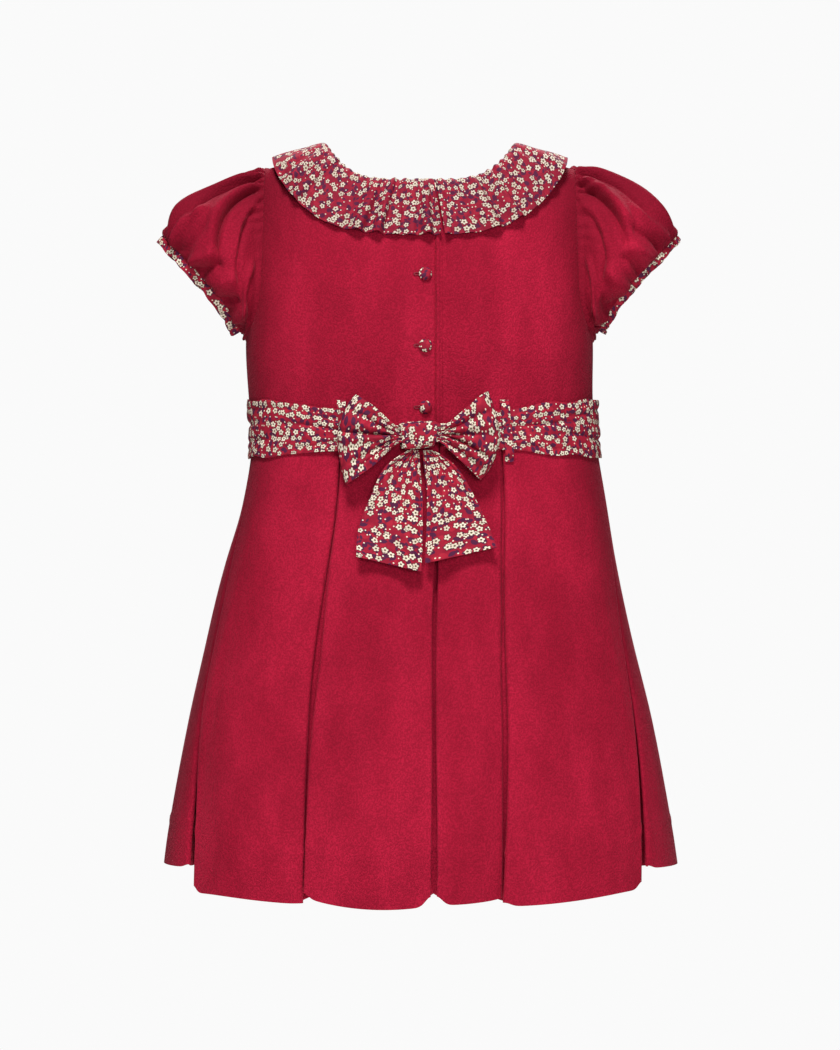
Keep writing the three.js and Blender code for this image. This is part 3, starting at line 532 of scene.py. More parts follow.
def edge_angle(v, arm):
    z = lerp(BODICE_Z, SHOULDER_POINT_Z, row_share(v))
    s = np.clip((z - UNDERARM_Z) / ARMHOLE_CURVE, 0, 1)
    return 90 - (90 - arm) * np.sqrt(1 - (1 - s) ** 2)


def ring_x(z, angle):
    return wide(z) * np.sin(np.radians(angle)) ** (2 / SQUARE)


def panel_place(share, v, side, front, tuck=0.0):
    """Points of a panel: share runs from the middle (0) to the side seam and armhole (1)."""
    arm = ARM_FRONT if front else ARM_BACK
    top_x = ring_x(np.full_like(share, SHOULDER_POINT_Z), arm * share)
    z = lerp(BODICE_Z, top_z(top_x, front), row_share(v))
    x = ring_x(z, edge_angle(v, arm) * share)
    y = depth_at(x + lean(z), z) + SEAM / 2 - tuck * ease(0.985, 1, share)
    return stack(side * x + lean(z), y if front else -y, z)


def lap_place(x, v):
    z = lerp(BODICE_Z, top_z(x, False), row_share(v))
    return stack(x, -(depth_at(x, z) + SEAM / 2), z)


def panel_drape(seed):
    def lift(u, v, p):
        drape = 0.7 * ripple(p, 48, seed) * ease(0.0, 0.15, v) * (1 - ease(0.75, 0.95, v))
        return drape
    return lift


SIDE_TUCK = 0.6


def front_place(u, v):
    share = np.abs(2 * u - 1)
    return np.where((u < 0.5)[..., None], panel_place(share, v, -1, True, SIDE_TUCK),
                    panel_place(share, v, 1, True, SIDE_TUCK))


LAP_COLUMNS = 0.25
RIDGE_X = 13.2


def back_left_place(u, v):
    """Left back: its lap is the last part of the columns, up to the placket edge."""
    panel = panel_place(np.clip(1 - u / (1 - LAP_COLUMNS), 0, 1), v, -1, False, SIDE_TUCK)
    lap = lap_place(PLACKET_X * np.clip((u - 1 + LAP_COLUMNS) / LAP_COLUMNS, 0, 1), v)
    return np.where((u < 1 - LAP_COLUMNS)[..., None], panel, lap)


def placket_drape(u, v, p):
    """The turned edge of the placket: a fine ridge where it is stitched, then a soft roll."""
    x = p[..., 0]
    ridge = (1.5 * np.exp(-(((x - RIDGE_X) / 0.9) ** 2))
             - 1.1 * np.exp(-(((x - RIDGE_X + 1.9) / 0.8) ** 2)))
    roll = -0.6 * ease(PLACKET_X - 1.5, PLACKET_X, x)
    return panel_drape(2.6)(u, v, p) + np.where(u >= 1 - LAP_COLUMNS, ridge + roll, 0)


RIGHT_START = 27.0


def back_right_place(u, v):
    """Right back: it runs under the placket and comes up level beside it."""
    start = math.degrees(math.asin((RIGHT_START / 128) ** (SQUARE / 2))) / ARM_BACK
    part = 0.2
    panel = panel_place(lerp(start, 1, np.clip((u - part) / (1 - part), 0, 1)), v, 1, False,
                        SIDE_TUCK)
    edge = panel_place(np.full_like(u, start), v, 1, False)
    lap = lap_place(lerp(UNDERLAP_X, edge[..., 0], np.clip(u / part, 0, 1)), v)
    points = np.where((u >= part)[..., None], panel, lap)
    sink = (VELVET + SEAM + 0.2) * (1 - ease(PLACKET_X + 1.5, PLACKET_X + 8, points[..., 0]))
    return points - form_normal(points) * sink[..., None]


bodice_front = cloth("velvet_bodice_front", 120, 76, front_place, VELVET, lift=panel_drape(1.1))
bodice_back_left = cloth("velvet_bodice_back_left", 160, 90, back_left_place, VELVET,
                         lift=placket_drape)
bodice_back_right = cloth("velvet_bodice_back_right", 110, 90, back_right_place, VELVET,
                          lift=panel_drape(3.9))

# %% [markdown]
# ## Sleeves
# A puffed sleeve is a tube that is wider than both of its ends. It starts at the armhole's
# own edge, bulges out, and is gathered into the slanted cuff. Gathers fan out from both seams.

# %% Sleeves
ARM_AIM = np.array([140.0, 0, -70])
CUFF_X, CUFF_Z, CUFF_LONG, CUFF_DEEP, CUFF_SLANT = 163.1, -87.8, 44.8, 25, math.radians(51.5)
CUFF_DIP, CUFF_FLARE = 3, 2
SLEEVE_RISE = {-1: -1, 1: 8}
CUFF_HIGH = 7


def armhole(angle, side):
    """The armhole's edge by sleeve angle: 0 under the arm, pi at the shoulder, back first."""
    split = 0.36
    share = np.clip(1 - np.abs(angle / math.pi - 1), 0, 1)
    v = split + (1 - split) * share
    one = np.ones_like(v)
    back = panel_place(one, v, side, False)
    front = panel_place(one, v, side, True)
    return np.where((angle <= math.pi)[..., None], back, front)


def under_arm(side, angle):
    return (1.9 - 0.5 * side) * (1 + np.cos(angle)) / 2


def cuff_frame(side):
    centre = np.array([side * CUFF_X, 0, CUFF_Z])
    long = np.array([-side * math.cos(CUFF_SLANT), 0, -math.sin(CUFF_SLANT)])
    out = np.array([side * math.sin(CUFF_SLANT), 0, -math.cos(CUFF_SLANT)])
    return centre, long, out


def cuff_place(side, angle, out_by, grow=0.0):
    centre, long, out = cuff_frame(side)
    down = ((CUFF_LONG + grow) * np.cos(angle))[..., None]
    away = ((CUFF_DEEP + grow) * np.sin(angle))[..., None]
    c = np.cos(angle)
    bend = CUFF_DIP * (1 - c * c) * (1 + c) - CUFF_FLARE * (1 - c) / 2
    out_by = (np.asarray(out_by) - bend)[..., None]
    return centre + long * down + np.array([0, -1, 0]) * away + out * out_by


def sleeve_place(side):
    def place(u, v):
        angle = 2 * math.pi * u
        edge = armhole(angle, side)
        n = form_normal(edge)
        start = edge + along_form(ARM_AIM * [side, 1, 1] - edge, n) * 1.2
        top = (1 - np.cos(angle)) / 2
        beside = np.sin(angle)
        _, long, out = cuff_frame(side)
        a = (start + n * ((8 + 12 * np.abs(beside)) * (1 - top))[..., None]
             + stack(side * 34 * top, -9 * beside, SLEEVE_RISE[side] * top))
        end = cuff_place(side, angle, 2.2 + 0.5 * under_arm(side, angle), 3.2)
        radial = long * np.cos(angle)[..., None] + np.array([0, -1, 0]) * beside[..., None]
        b = (end - out * (3 + 23 * top)[..., None]
             + radial * (6 + 16 * np.abs(beside) + 13 * top)[..., None])
        t = v[..., None]
        return ((1 - t) ** 3 * start + 3 * (1 - t) ** 2 * t * a + 3 * (1 - t) * t * t * b
                + t**3 * end)
    return place


# Folds and the hollows between them, from their start to their end in turn round the sleeve
# and share along it, with width and height. 0.5 is the shoulder, 0.25 the middle of the back.
BACK_FOLDS = [
    ((0.452, 0.0), (0.405, 0.95), 0.024, 4.4), ((0.415, 0.02), (0.36, 0.75), 0.013, -3.8),
    ((0.39, 0.0), (0.30, 0.6), 0.017, 3.6), ((0.362, 0.02), (0.255, 0.7), 0.012, -3.2),
    ((0.335, 0.0), (0.215, 0.42), 0.015, 2.4), ((0.29, 0.1), (0.17, 0.5), 0.02, -2.0),
    ((0.375, 1.0), (0.345, 0.5), 0.014, 3.0), ((0.335, 1.0), (0.31, 0.55), 0.011, -2.6),
    ((0.30, 1.0), (0.265, 0.62), 0.013, 2.6), ((0.262, 1.0), (0.24, 0.6), 0.011, -2.4),
    ((0.215, 1.0), (0.19, 0.5), 0.016, 3.0), ((0.168, 1.0), (0.14, 0.6), 0.012, -2.6),
    ((0.12, 1.0), (0.09, 0.4), 0.018, 3.6), ((0.08, 0.95), (0.05, 0.4), 0.012, -2.6),
    ((0.17, 0.1), (0.09, 0.6), 0.014, 2.0),
]
FRONT_FOLDS = [
    ((0.545, 0.0), (0.585, 0.85), 0.02, 3.8), ((0.58, 0.0), (0.64, 0.7), 0.012, -3.0),
    ((0.615, 0.0), (0.69, 0.55), 0.017, 3.4), ((0.65, 0.03), (0.735, 0.6), 0.012, -2.8),
    ((0.685, 0.0), (0.80, 0.5), 0.016, 2.6), ((0.625, 1.0), (0.645, 0.5), 0.014, 2.8),
    ((0.665, 1.0), (0.69, 0.55), 0.011, -2.4), ((0.71, 1.0), (0.735, 0.5), 0.015, 2.8),
    ((0.755, 1.0), (0.77, 0.6), 0.012, -2.4), ((0.80, 1.0), (0.82, 0.45), 0.016, 3.0),
    ((0.88, 1.0), (0.9, 0.4), 0.018, 3.2), ((0.925, 0.95), (0.95, 0.4), 0.012, -2.2),
]


def sleeve_gathers(seed, low):
    def lift(u, v, p):
        top = (1 - np.cos(2 * math.pi * u)) / 2
        folds = sum(crease(u + 0.008 * np.sin(7 * v + seed + k), v, start, end, width,
                           high * (1 + 0.25 * math.sin(seed + 2.3 * k)))
                    for k, (start, end, width, high) in enumerate(BACK_FOLDS + FRONT_FOLDS))
        reach = 0.12 + 0.06 * np.sin(47 * u + seed)
        head = np.exp(-v / reach) * ease(0, 0.03, v) * top**2
        hand = np.exp(-(1 - v) / (0.1 + 0.04 * np.sin(39 * u + seed))) * ease(0, 0.03, 1 - v)
        turn = 2 * math.pi * (u + 0.005 * np.sin(14 * math.pi * u + seed))
        crown = np.exp(-(((u - 0.5) / 0.085) ** 2)) * np.sin(math.pi * v) ** 1.2
        return (1.5 * folds * ease(0, 0.05, v) * ease(0, 0.04, 1 - v) + 0.9 - 2.1 * ease(0, 0.08, v) - low * crown
                + 3.2 * head * np.sin(33 * turn + seed) + 1.9 * hand * np.sin(31 * turn + seed)
                + 1.2 * ripple(p, 30, seed) * ease(0.1, 0.4, v) * (1 - ease(0.7, 0.95, v)))
    return lift


sleeve_left = cloth("velvet_sleeve_left", 280, 66, sleeve_place(-1), VELVET, ring=True,
                    lift=sleeve_gathers(0.7, 14.5))
sleeve_right = cloth("velvet_sleeve_right", 280, 66, sleeve_place(1), VELVET, ring=True,
                     lift=sleeve_gathers(2.9, 11.5), flip=True)


def cuff_ring(side):
    def place(u, v):
        angle = 2 * math.pi * u
        edge = CUFF_HIGH + 0.1 - 0.9 * side + under_arm(side, angle) + 0.5 * np.sin(9 * angle + 2 * side) + 0.4 * np.sin(17 * angle + side)
        out_by = lerp(-6.0, edge, v)
        roll = 1.3 * np.sin(math.pi * v)
        gathers = 0.6 * np.sin(25 * angle + 2 * np.sin(3 * angle)) + 0.35 * np.sin(41 * angle + side)
        return cuff_place(side, angle, out_by, roll + gathers * v)
    return place


cuff_left = cloth("print_cuff_left", 260, 14, cuff_ring(-1), 1.2, ring=True)
cuff_right = cloth("print_cuff_right", 260, 14, cuff_ring(1), 1.2, ring=True)

# %% [markdown]
# ## Neck binding and collar
# The collar is a strip of printed cotton gathered along one edge. It stands up at the neck
# seam, rolls over, and lies in waves over the shoulders, split at the centre back.

# %% Neck edge
NECK_AIM = np.array([0.0, 0, 60])
COLLAR_AIM = np.array([0.0, 0, 40])
BINDING_HIGH = 7
TAB_X = 12.5


def neck_edge(turn):
    """The neck edge by turn in degrees: 0 centre back, 90 the +X shoulder, 180 centre front."""
    front = np.cos(np.radians(turn)) < 0
    x = NECK_X * np.sin(np.radians(turn))
    near = np.clip(x, -NECK_X + 0.001, NECK_X - 0.001)
    z = np.where(front, top_z(near, True), top_z(near, False))
    y = depth_at(near, z) + SEAM / 2
    return stack(x, np.where(front, y, -y), z)


def turn_of_x(x):
    return math.degrees(math.asin(x / NECK_X))


def binding_place(u, v):
    edge = neck_edge(lerp(turn_of_x(PLACKET_X + 1.3), 360 + turn_of_x(PLACKET_X - 0.2), u))
    n = form_normal(edge)
    up = along_form(NECK_AIM - edge, n)
    roll = 0.7 * np.sin(math.pi * v)[..., None]
    tab = 4.5 * np.exp(-(((edge[..., 0] - TAB_X) / 3.5) ** 2)) * (edge[..., 1] < 0)
    return edge + up * lerp(SEAM, BINDING_HIGH + tab, v)[..., None] + n * roll


neck_binding = cloth("print_neck_binding", 260, 8, binding_place, 1.3)

# %% Collar ruffle
RUFFLE_ACROSS = np.array([0, 0.08, 0.2, 0.45, 0.72, 1.0])
RUFFLE_UP = np.array([5, 8.5, 1, 0, 0, 0.0])
RUFFLE_OUT = np.array([0, 0, 0, 12.5, 24, 35.5])
RUFFLE_LIFT = np.array([1.9, 4.4, 6.2, 4.4, 3.6, 2.8])
RUFFLE_WAVE = np.array([0, 0.2, 0.45, 0.75, 0.95, 1.0])
WAVE_HIGH = 7.0
SCALLOP = 0.8
PEAK_OUT = np.array([0, 0, 0, 1, 2, 2.5])     # at the shoulders the collar spreads wider
PEAK_LIFT = np.array([1, 3.5, 4, 4.5, 4.8, 4.5])


def ruffle(turn):
    """Uneven ruffle folds from 0 to 1 by turn round the neck: each swells slowly, then drops."""
    t = np.radians(turn)
    count = 27 * t / (2 * math.pi) + 2.2 * np.sin(t) + 0.4 * np.sin(5 * t + 0.4)
    along = count % 1.0
    fold = ease(0, 0.7, along) * (1 - ease(0.7, 1.0, along))
    high = 0.6 + 0.4 * np.sin(4.7 * np.floor(count) + 1.1)
    return fold * high * (1 - 0.6 * at_shoulder(turn))


def at_shoulder(turn):
    return np.sin(np.radians(turn)) ** 6


def collar_place(start, end):
    def place(u, v):
        turn = lerp(start, end, u[0])
        edge = neck_edge(turn)
        n = form_normal(edge)
        up = along_form(NECK_AIM - edge, n)
        peak = at_shoulder(turn)
        rings = []
        for k in range(len(RUFFLE_OUT)):
            p = edge + up * (RUFFLE_UP[k] * (1 - 0.6 * peak))[:, None]
            strides = int(math.ceil(RUFFLE_OUT[k] / 3))
            for _ in range(strides):
                step = (RUFFLE_OUT[k] + PEAK_OUT[k] * peak
                        - SCALLOP * (k == 5) * ruffle(turn)) / strides
                p = onto_form(p + along_form(p - COLLAR_AIM, form_normal(p)) * step[:, None])
            wave = RUFFLE_LIFT[k] + PEAK_LIFT[k] * peak + WAVE_HIGH * RUFFLE_WAVE[k] * ruffle(turn)
            rings.append(p + form_normal(p) * wave[:, None])
        rings = np.array(rings)
        out = np.empty(u.shape + (3,))
        for c in range(u.shape[1]):
            for axis in range(3):
                out[:, c, axis] = smooth_read(v[:, c], RUFFLE_ACROSS, rings[:, c, axis])
        return out
    return place


def collar_gathers(seed):
    def lift(u, v, p):
        fine = np.exp(-v / 0.22) * ease(0, 0.05, v)
        pucker = 1.2 * fine * np.sin(2 * math.pi * 27 * u + 2 * np.sin(9 * u + seed))
        return pucker * (0.7 + 0.3 * np.sin(23 * u + seed))
    return lift


collar_left = cloth("print_collar_left", 420, 34,
                    collar_place(180.3, 360 + turn_of_x(PLACKET_X - 5.2)), LAWN,
                    lift=collar_gathers(0.3))
collar_right = cloth("print_collar_right", 380, 34,
                     collar_place(turn_of_x(PLACKET_X - 3.4), 179.7), LAWN,
                     lift=collar_gathers(1.9))

# %% [markdown]
# ## Sash, belt loops and bow
# The sash is a wide soft strip that scrunches into lengthwise folds. It narrows towards the
# back, where it is tied in a bow of two loops, a knot and two tails.

# %% Sash band
SASH_TOP, SASH_BOTTOM, SASH_DIP, SASH_RISE, SASH_NEAR = -179, -223, 14, 7, 40
KNOT_NEAR = 13
ON_CLOTH = 1.65


def form_place(z, angle, out):
    p = ring_place(z, angle)
    return p + ring_out(p) * np.asarray(out)[..., None]


def sash_edges(angle):
    from_back = np.abs((angle + 180) % 360 - 180)
    near = np.exp(-((from_back / SASH_NEAR) ** 2))
    tied = np.exp(-((from_back / KNOT_NEAR) ** 4))
    return (SASH_TOP - SASH_DIP * near - 7 * tied, SASH_BOTTOM + SASH_RISE * near + 5 * tied)


# Lengthwise scrunch lines: share of the width, how far and how often each wanders, depth.
SCRUNCH = [(0.2, 0.07, 2, 1.6, 0.4), (0.44, 0.06, 3, 2.0, 2.0), (0.63, 0.08, 2, 1.8, 4.1),
           (0.84, 0.05, 3, 1.5, 5.2), (0.33, 0.09, 4, 1.2, 1.2), (0.73, 0.07, 5, 1.1, 3.3)]


def sash_place(u, v):
    angle = 360 * u
    top, bottom = sash_edges(angle)
    a = np.radians(angle)
    valleys = 0 * u
    for share, wander, count, depth, start in SCRUNCH:
        line = share + wander * np.sin(count * a + start) + 0.02 * np.sin(11 * a + 3 * start)
        strength = 0.55 + 0.45 * np.sin(5 * a + 2 * start)
        valleys = valleys + depth * strength * np.exp(-(((v - line) / 0.045) ** 2))
    puff = 1.3 * np.sin(math.pi * v) ** 0.5 + 0.3 * np.sin(9 * a + 12 * v)
    edge_z = (0.7 * np.sin(11 * a) + 0.5 * np.sin(17 * a + 1)) * (1 - 2 * v)
    flare = 2.6 * np.exp(-(((angle - 89) / 16) ** 2)) * (1 - v) ** 2
    return form_place(lerp(top, bottom, v) + edge_z, angle, ON_CLOTH + 0.5 + puff - 0.85 * valleys + flare)


sash_band = cloth("print_sash_band", 360, 48, sash_place, LAWN, ring=True)

# %% Belt loops
LOOP_ANGLE, LOOP_HALF, LOOP_TOP, LOOP_BOTTOM, LOOP_OUT = {-1: 24.2, 1: 25.3}, 1.5, -181, -227, 5.3


def belt_loop_place(side):
    def place(u, v):
        up = ease(0, 0.12, v) * (1 - ease(0.84, 0.98, v))
        crown = 0.25 * (1 - (2 * u - 1) ** 2)
        angle = side * (LOOP_ANGLE[side] + (2 * u - 1) * LOOP_HALF)
        return form_place(lerp(LOOP_TOP, LOOP_BOTTOM, v), angle,
                          lerp(ON_CLOTH + 0.1, LOOP_OUT, up) + crown)
    return place


belt_loop_left = cloth("print_belt_loop_left", 12, 60, belt_loop_place(-1), 1.1)
belt_loop_right = cloth("print_belt_loop_right", 12, 60, belt_loop_place(1), 1.1)

# %% Bow
KNOT_X, KNOT_Y, KNOT_Z, KNOT_HALF, KNOT_HIGH, KNOT_DEEP = -0.5, -74.4, -207.5, 12.6, 10, 8.4


def knot_place(u, v):
    angle = 2 * math.pi * u
    w = 2 * v - 1
    swell = 1 - 0.16 * w**4
    folds = 1 - 0.07 * np.cos(4 * angle + 1.5 * w) - 0.04 * np.cos(9 * angle + 3 * w + 1)
    return stack(KNOT_X - 1.2 + (KNOT_HALF + 0.8 * np.cos(angle)) * w + 1.2 * np.sin(angle),
                 KNOT_Y - KNOT_DEEP * swell * folds * np.sin(angle),
                 KNOT_Z + KNOT_HIGH * swell * folds * np.cos(angle) + 0.8 * w)


bow_knot = cloth("print_bow_knot", 120, 44, knot_place, LAWN, ring=True)


# Folds of a bow loop: height in the loop, near the knot and at its far end, width and depth.
LOOP_FOLDS = {
    -1: [(0.02, 0.1, 0.06, -5.6), (-0.12, -0.06, 0.1, 3.6), (-0.34, -0.66, 0.08, -3.0),
         (0.35, 0.62, 0.09, -3.2), (0.2, 0.34, 0.08, 2.4), (-0.55, -0.88, 0.06, -2.0)],
    1: [(-0.05, -0.52, 0.06, -5.6), (-0.22, -0.7, 0.09, 3.6), (0.15, 0.02, 0.08, -3.4),
        (0.42, 0.58, 0.09, -3.0), (0.28, 0.28, 0.08, 2.4), (-0.45, -0.92, 0.06, -1.6)],
}
# How far the loop's far edge falls back at its top and bottom corners.
CORNERS = {-1: (13.5, 6.0), 1: (8.5, 14.5)}


def bow_loop_place(side, reach, pinch, high, sag, tilt):
    begin, in_knot = 9, 15
    top, bottom = CORNERS[side]

    def place(u, v):
        turn = 2 * math.pi * u
        w = 2 * v - 1
        out = (1 - np.cos(turn)) / 2
        back_off = np.where(w > 0, top, bottom) * np.abs(w) ** 1.6
        x = begin + (reach - back_off) * out
        free = np.clip((x - in_knot) / (begin + reach - in_knot), 0, 1)
        half = lerp(pinch, high, np.sin(0.5 * math.pi * free) ** 1.25)
        front = np.where(np.sin(turn) > 0, 10, 2.5)
        folds = sum(deep * np.exp(-(((w - lerp(near, far, free)) / width) ** 2))
                    for near, far, width, deep in LOOP_FOLDS[side])
        fold = folds * ease(0, 0.2, free) * (1 - 0.35 * free) + 0.6 * np.cos(15 * w + side) * (1 - free)
        y = (KNOT_Y - 2 * np.cos(turn / 2) - np.sin(turn) * front * np.sqrt(free)
             - fold * np.maximum(0, np.sin(turn)) ** 0.5 - 1.5 * out)
        edge = 1.5 * np.sin(9 * free + side) * free * w**3
        return stack(KNOT_X + side * x, y,
                     KNOT_Z - sag * out + tilt * out * (1 - w) * 0.5 + half * w + edge)
    return place


bow_loop_left = cloth("print_bow_loop_left", 120, 72, bow_loop_place(-1, 51, 5.6, 35.5, 1, 0), LAWN)
bow_loop_right = cloth("print_bow_loop_right", 120, 72, bow_loop_place(1, 50, 4.6, 33.5, 1, -2), LAWN)

TAIL_V = np.array([0, 0.15, 0.4, 0.75, 1.0])
LEFT_INNER = np.array([-1.2, 0, 2, 1.8, 0.8])
LEFT_OUTER = np.array([-9, -25, -35, -45, -46.5])
RIGHT_INNER = np.array([2, 3.2, 5, 4.6, 3.8])
RIGHT_OUTER = np.array([10, 25, 37, 49, 56.5])
TAIL_TOP = KNOT_Z - KNOT_HIGH - 1.2


def tail_place(inner_x, outer_x, inner_long, outer_long, waves):
    def place(u, v):
        x = lerp(smooth_read(v, TAIL_V, inner_x), smooth_read(v, TAIL_V, outer_x), u)
        z = TAIL_TOP - v * lerp(inner_long, outer_long, u)
        crest = 0.5 - 0.5 * np.cos(2 * math.pi * waves * u + 0.6 * v + 0.8 * np.sin(5 * u))
        wave = crest**1.5 * lerp(1.6, 3.4, v)
        fine = 0.9 * np.cos(2 * math.pi * 6 * u + 1 + 2 * v) * np.exp(-v / 0.4) * ease(0, 0.05, v)
        gap = lerp(-KNOT_Y - depth_at(x, TAIL_TOP + 0 * x), ON_CLOTH + 7.5, ease(0, 0.8, v))
        return stack(x, -depth_at(x, z) - gap - wave - fine, z)
    return place


bow_tail_left = cloth("print_bow_tail_left", 70, 80,
                      tail_place(LEFT_INNER, LEFT_OUTER, 89, 78, 1.6), LAWN)
bow_tail_right = cloth("print_bow_tail_right", 70, 80,
                       tail_place(RIGHT_INNER, RIGHT_OUTER, 83, 71, 1.4), LAWN)

# %% [markdown]
# ## Buttons and buttonholes
# Small domes covered in the print. A button starts as a low cylinder whose top is inset and
# raised in steps; a Subdivision Surface modifier rounds it.

# %% Buttons
BUTTON_X = 4
BUTTON_ZS = {"top": -88, "middle": -141, "bottom": -186.5}
BUTTON_R = 5.0


def button_seat(z):
    p = np.array([BUTTON_X, -float(depth_at(np.array(BUTTON_X), np.array(z))) - SEAM / 2, z], float)
    return p, form_normal(p)


def covered_button(name, z):
    bpy.ops.object.select_all(action="DESELECT")
    bpy.ops.mesh.primitive_cylinder_add(vertices=32, radius=BUTTON_R * MM, depth=1.4 * MM,
                                        location=(0, 0, 0.9 * MM), end_fill_type="NGON")
    piece = bpy.context.object
    piece.name = name
    bpy.ops.object.mode_set(mode="EDIT")
    bpy.ops.mesh.select_mode(type="FACE")
    bpy.ops.mesh.select_all(action="DESELECT")
    bpy.ops.object.mode_set(mode="OBJECT")
    for face in piece.data.polygons:
        face.select = face.normal.z > 0.9
    bpy.ops.object.mode_set(mode="EDIT")
    for inset, rise in ((0.6, 1.3), (1.1, 0.9), (1.4, 0.4), (1.2, 0.1)):
        bpy.ops.mesh.inset(thickness=inset * MM, depth=0)
        bpy.ops.transform.translate(value=(0, 0, rise * MM))
    bpy.ops.object.mode_set(mode="OBJECT")
    piece.location = (0, 0, 0)
    round_off = piece.modifiers.new("round", "SUBSURF")
    round_off.levels = 2
    round_off.render_levels = 2
    bpy.ops.object.modifier_apply(modifier=round_off.name)
    bpy.ops.object.shade_smooth()
    seat, n = button_seat(z)
    place = seat + n * (0.7 + SEAM)
    piece.rotation_euler = type(camera.location)(n).to_track_quat("Z", "Y").to_euler()
    piece.location = place * MM
    bpy.ops.object.transform_apply(location=True, rotation=True, scale=True)
    mesh = piece.data
    side = np.cross((0, 0, 1.0), n)
    side /= np.linalg.norm(side)
    axes = np.stack([side, np.cross(n, side)])
    co = np.empty(len(mesh.vertices) * 3)
    mesh.vertices.foreach_get("co", co)
    flat = (co.reshape(-1, 3) - place * MM) @ axes.T + (0.0131 * z, 0.0073 * z)
    corner = np.empty(len(mesh.loops), dtype=int)
    mesh.loops.foreach_get("vertex_index", corner)
    mesh.uv_layers.active.data.foreach_set("uv", flat[corner].ravel())
    mesh.uv_layers.active.name = "cut"
    return piece


def buttonhole(name, z):
    """A worked slit: a flat ring of thread, wider than it is high, left of its button."""
    bpy.ops.object.select_all(action="DESELECT")
    bpy.ops.mesh.primitive_torus_add(major_segments=40, minor_segments=8, major_radius=1.5 * MM,
                                     minor_radius=0.55 * MM)
    piece = bpy.context.object
    piece.name = name
    mesh = piece.data
    co = np.empty(len(mesh.vertices) * 3)
    mesh.vertices.foreach_get("co", co)
    co = co.reshape(-1, 3) / MM
    x = BUTTON_X - 3.8 + co[:, 0] + np.sign(co[:, 0]) * 3.0
    height = z + co[:, 1] * 0.6
    seat = stack(x, -depth_at(x, height) - SEAM / 2, height)
    seat = seat + form_normal(seat) * (VELVET / 2 + 0.35 + co[:, 2:3] * 0.6)
    mesh.vertices.foreach_set("co", (seat * MM).ravel())
    bpy.ops.object.shade_smooth()
    return piece


buttonholes = [buttonhole("buttonhole_" + name, z) for name, z in BUTTON_ZS.items()]
buttons = {name: covered_button("print_button_" + name, z) for name, z in BUTTON_ZS.items()}

# %% [markdown]
# ## Materials
# The velvet is a deep crimson whose pile catches the light at grazing angles and keeps soft
# brush marks; towards the dress's sides and on the sleeves it carries painted shade. The print
# is a scatter of small cream daisies, buds and leaves on crimson, and the collar's copy of it
# carries painted shade.


# %% Colours
def srgb(r, g, b):
    """A colour read off as 0 to 255 screen values, for a shader."""
    def linear(c):
        c /= 255
        return c / 12.92 if c <= 0.04045 else ((c + 0.055) / 1.055) ** 2.4
    return (linear(r), linear(g), linear(b), 1)


VELVET_LIGHT, VELVET_DARK, VELVET_DEEP = srgb(178, 24, 56), srgb(157, 16, 46), srgb(98, 3, 24)
PRINT_GROUND, PRINT_RED, PRINT_BRIGHT = srgb(142, 12, 42), srgb(154, 18, 45), srgb(170, 26, 50)
PRINT_PLUM, PRINT_OUTLINE = srgb(76, 22, 58), srgb(78, 8, 34)
PRINT_CREAM, PRINT_SHADE, PRINT_HEART = srgb(238, 228, 206), srgb(216, 202, 180), srgb(84, 72, 42)


# %% Node helper
class Recipe:
    """A material's node tree, written as a few sums."""

    def __init__(self, name):
        self.material = bpy.data.materials.new(name)
        self.material.use_nodes = True
        self.tree = self.material.node_tree
        self.shader = self.tree.nodes["Principled BSDF"]

    def node(self, kind, inputs=None, **settings):
        made = self.tree.nodes.new(kind)
        for key, value in settings.items():
            setattr(made, key, value)
        for key, value in (inputs or {}).items():
            self.put(made.inputs[key], value)
        return made

    def put(self, socket, value):
        if isinstance(value, bpy.types.NodeSocket):
            self.tree.links.new(value, socket)
        else:
            socket.default_value = value

    def math(self, operation, a, b=0.0, c=0.0):
        return self.node("ShaderNodeMath", {0: a, 1: b, 2: c}, operation=operation).outputs[0]

    def vector(self, operation, a, b=(0, 0, 0)):
        return self.node("ShaderNodeVectorMath", {0: a, 1: b}, operation=operation)

    def mix(self, factor, a, b):
        made = self.node("ShaderNodeMix", data_type="RGBA")
        self.put(made.inputs[0], factor)
        self.put(made.inputs[6], a)
        self.put(made.inputs[7], b)
        return made.outputs[2]

    def step(self, value, lo, hi):
        made = self.node("ShaderNodeMapRange", {"Value": value, "From Min": lo, "From Max": hi},
                         interpolation_type="SMOOTHSTEP")
        return made.outputs["Result"]


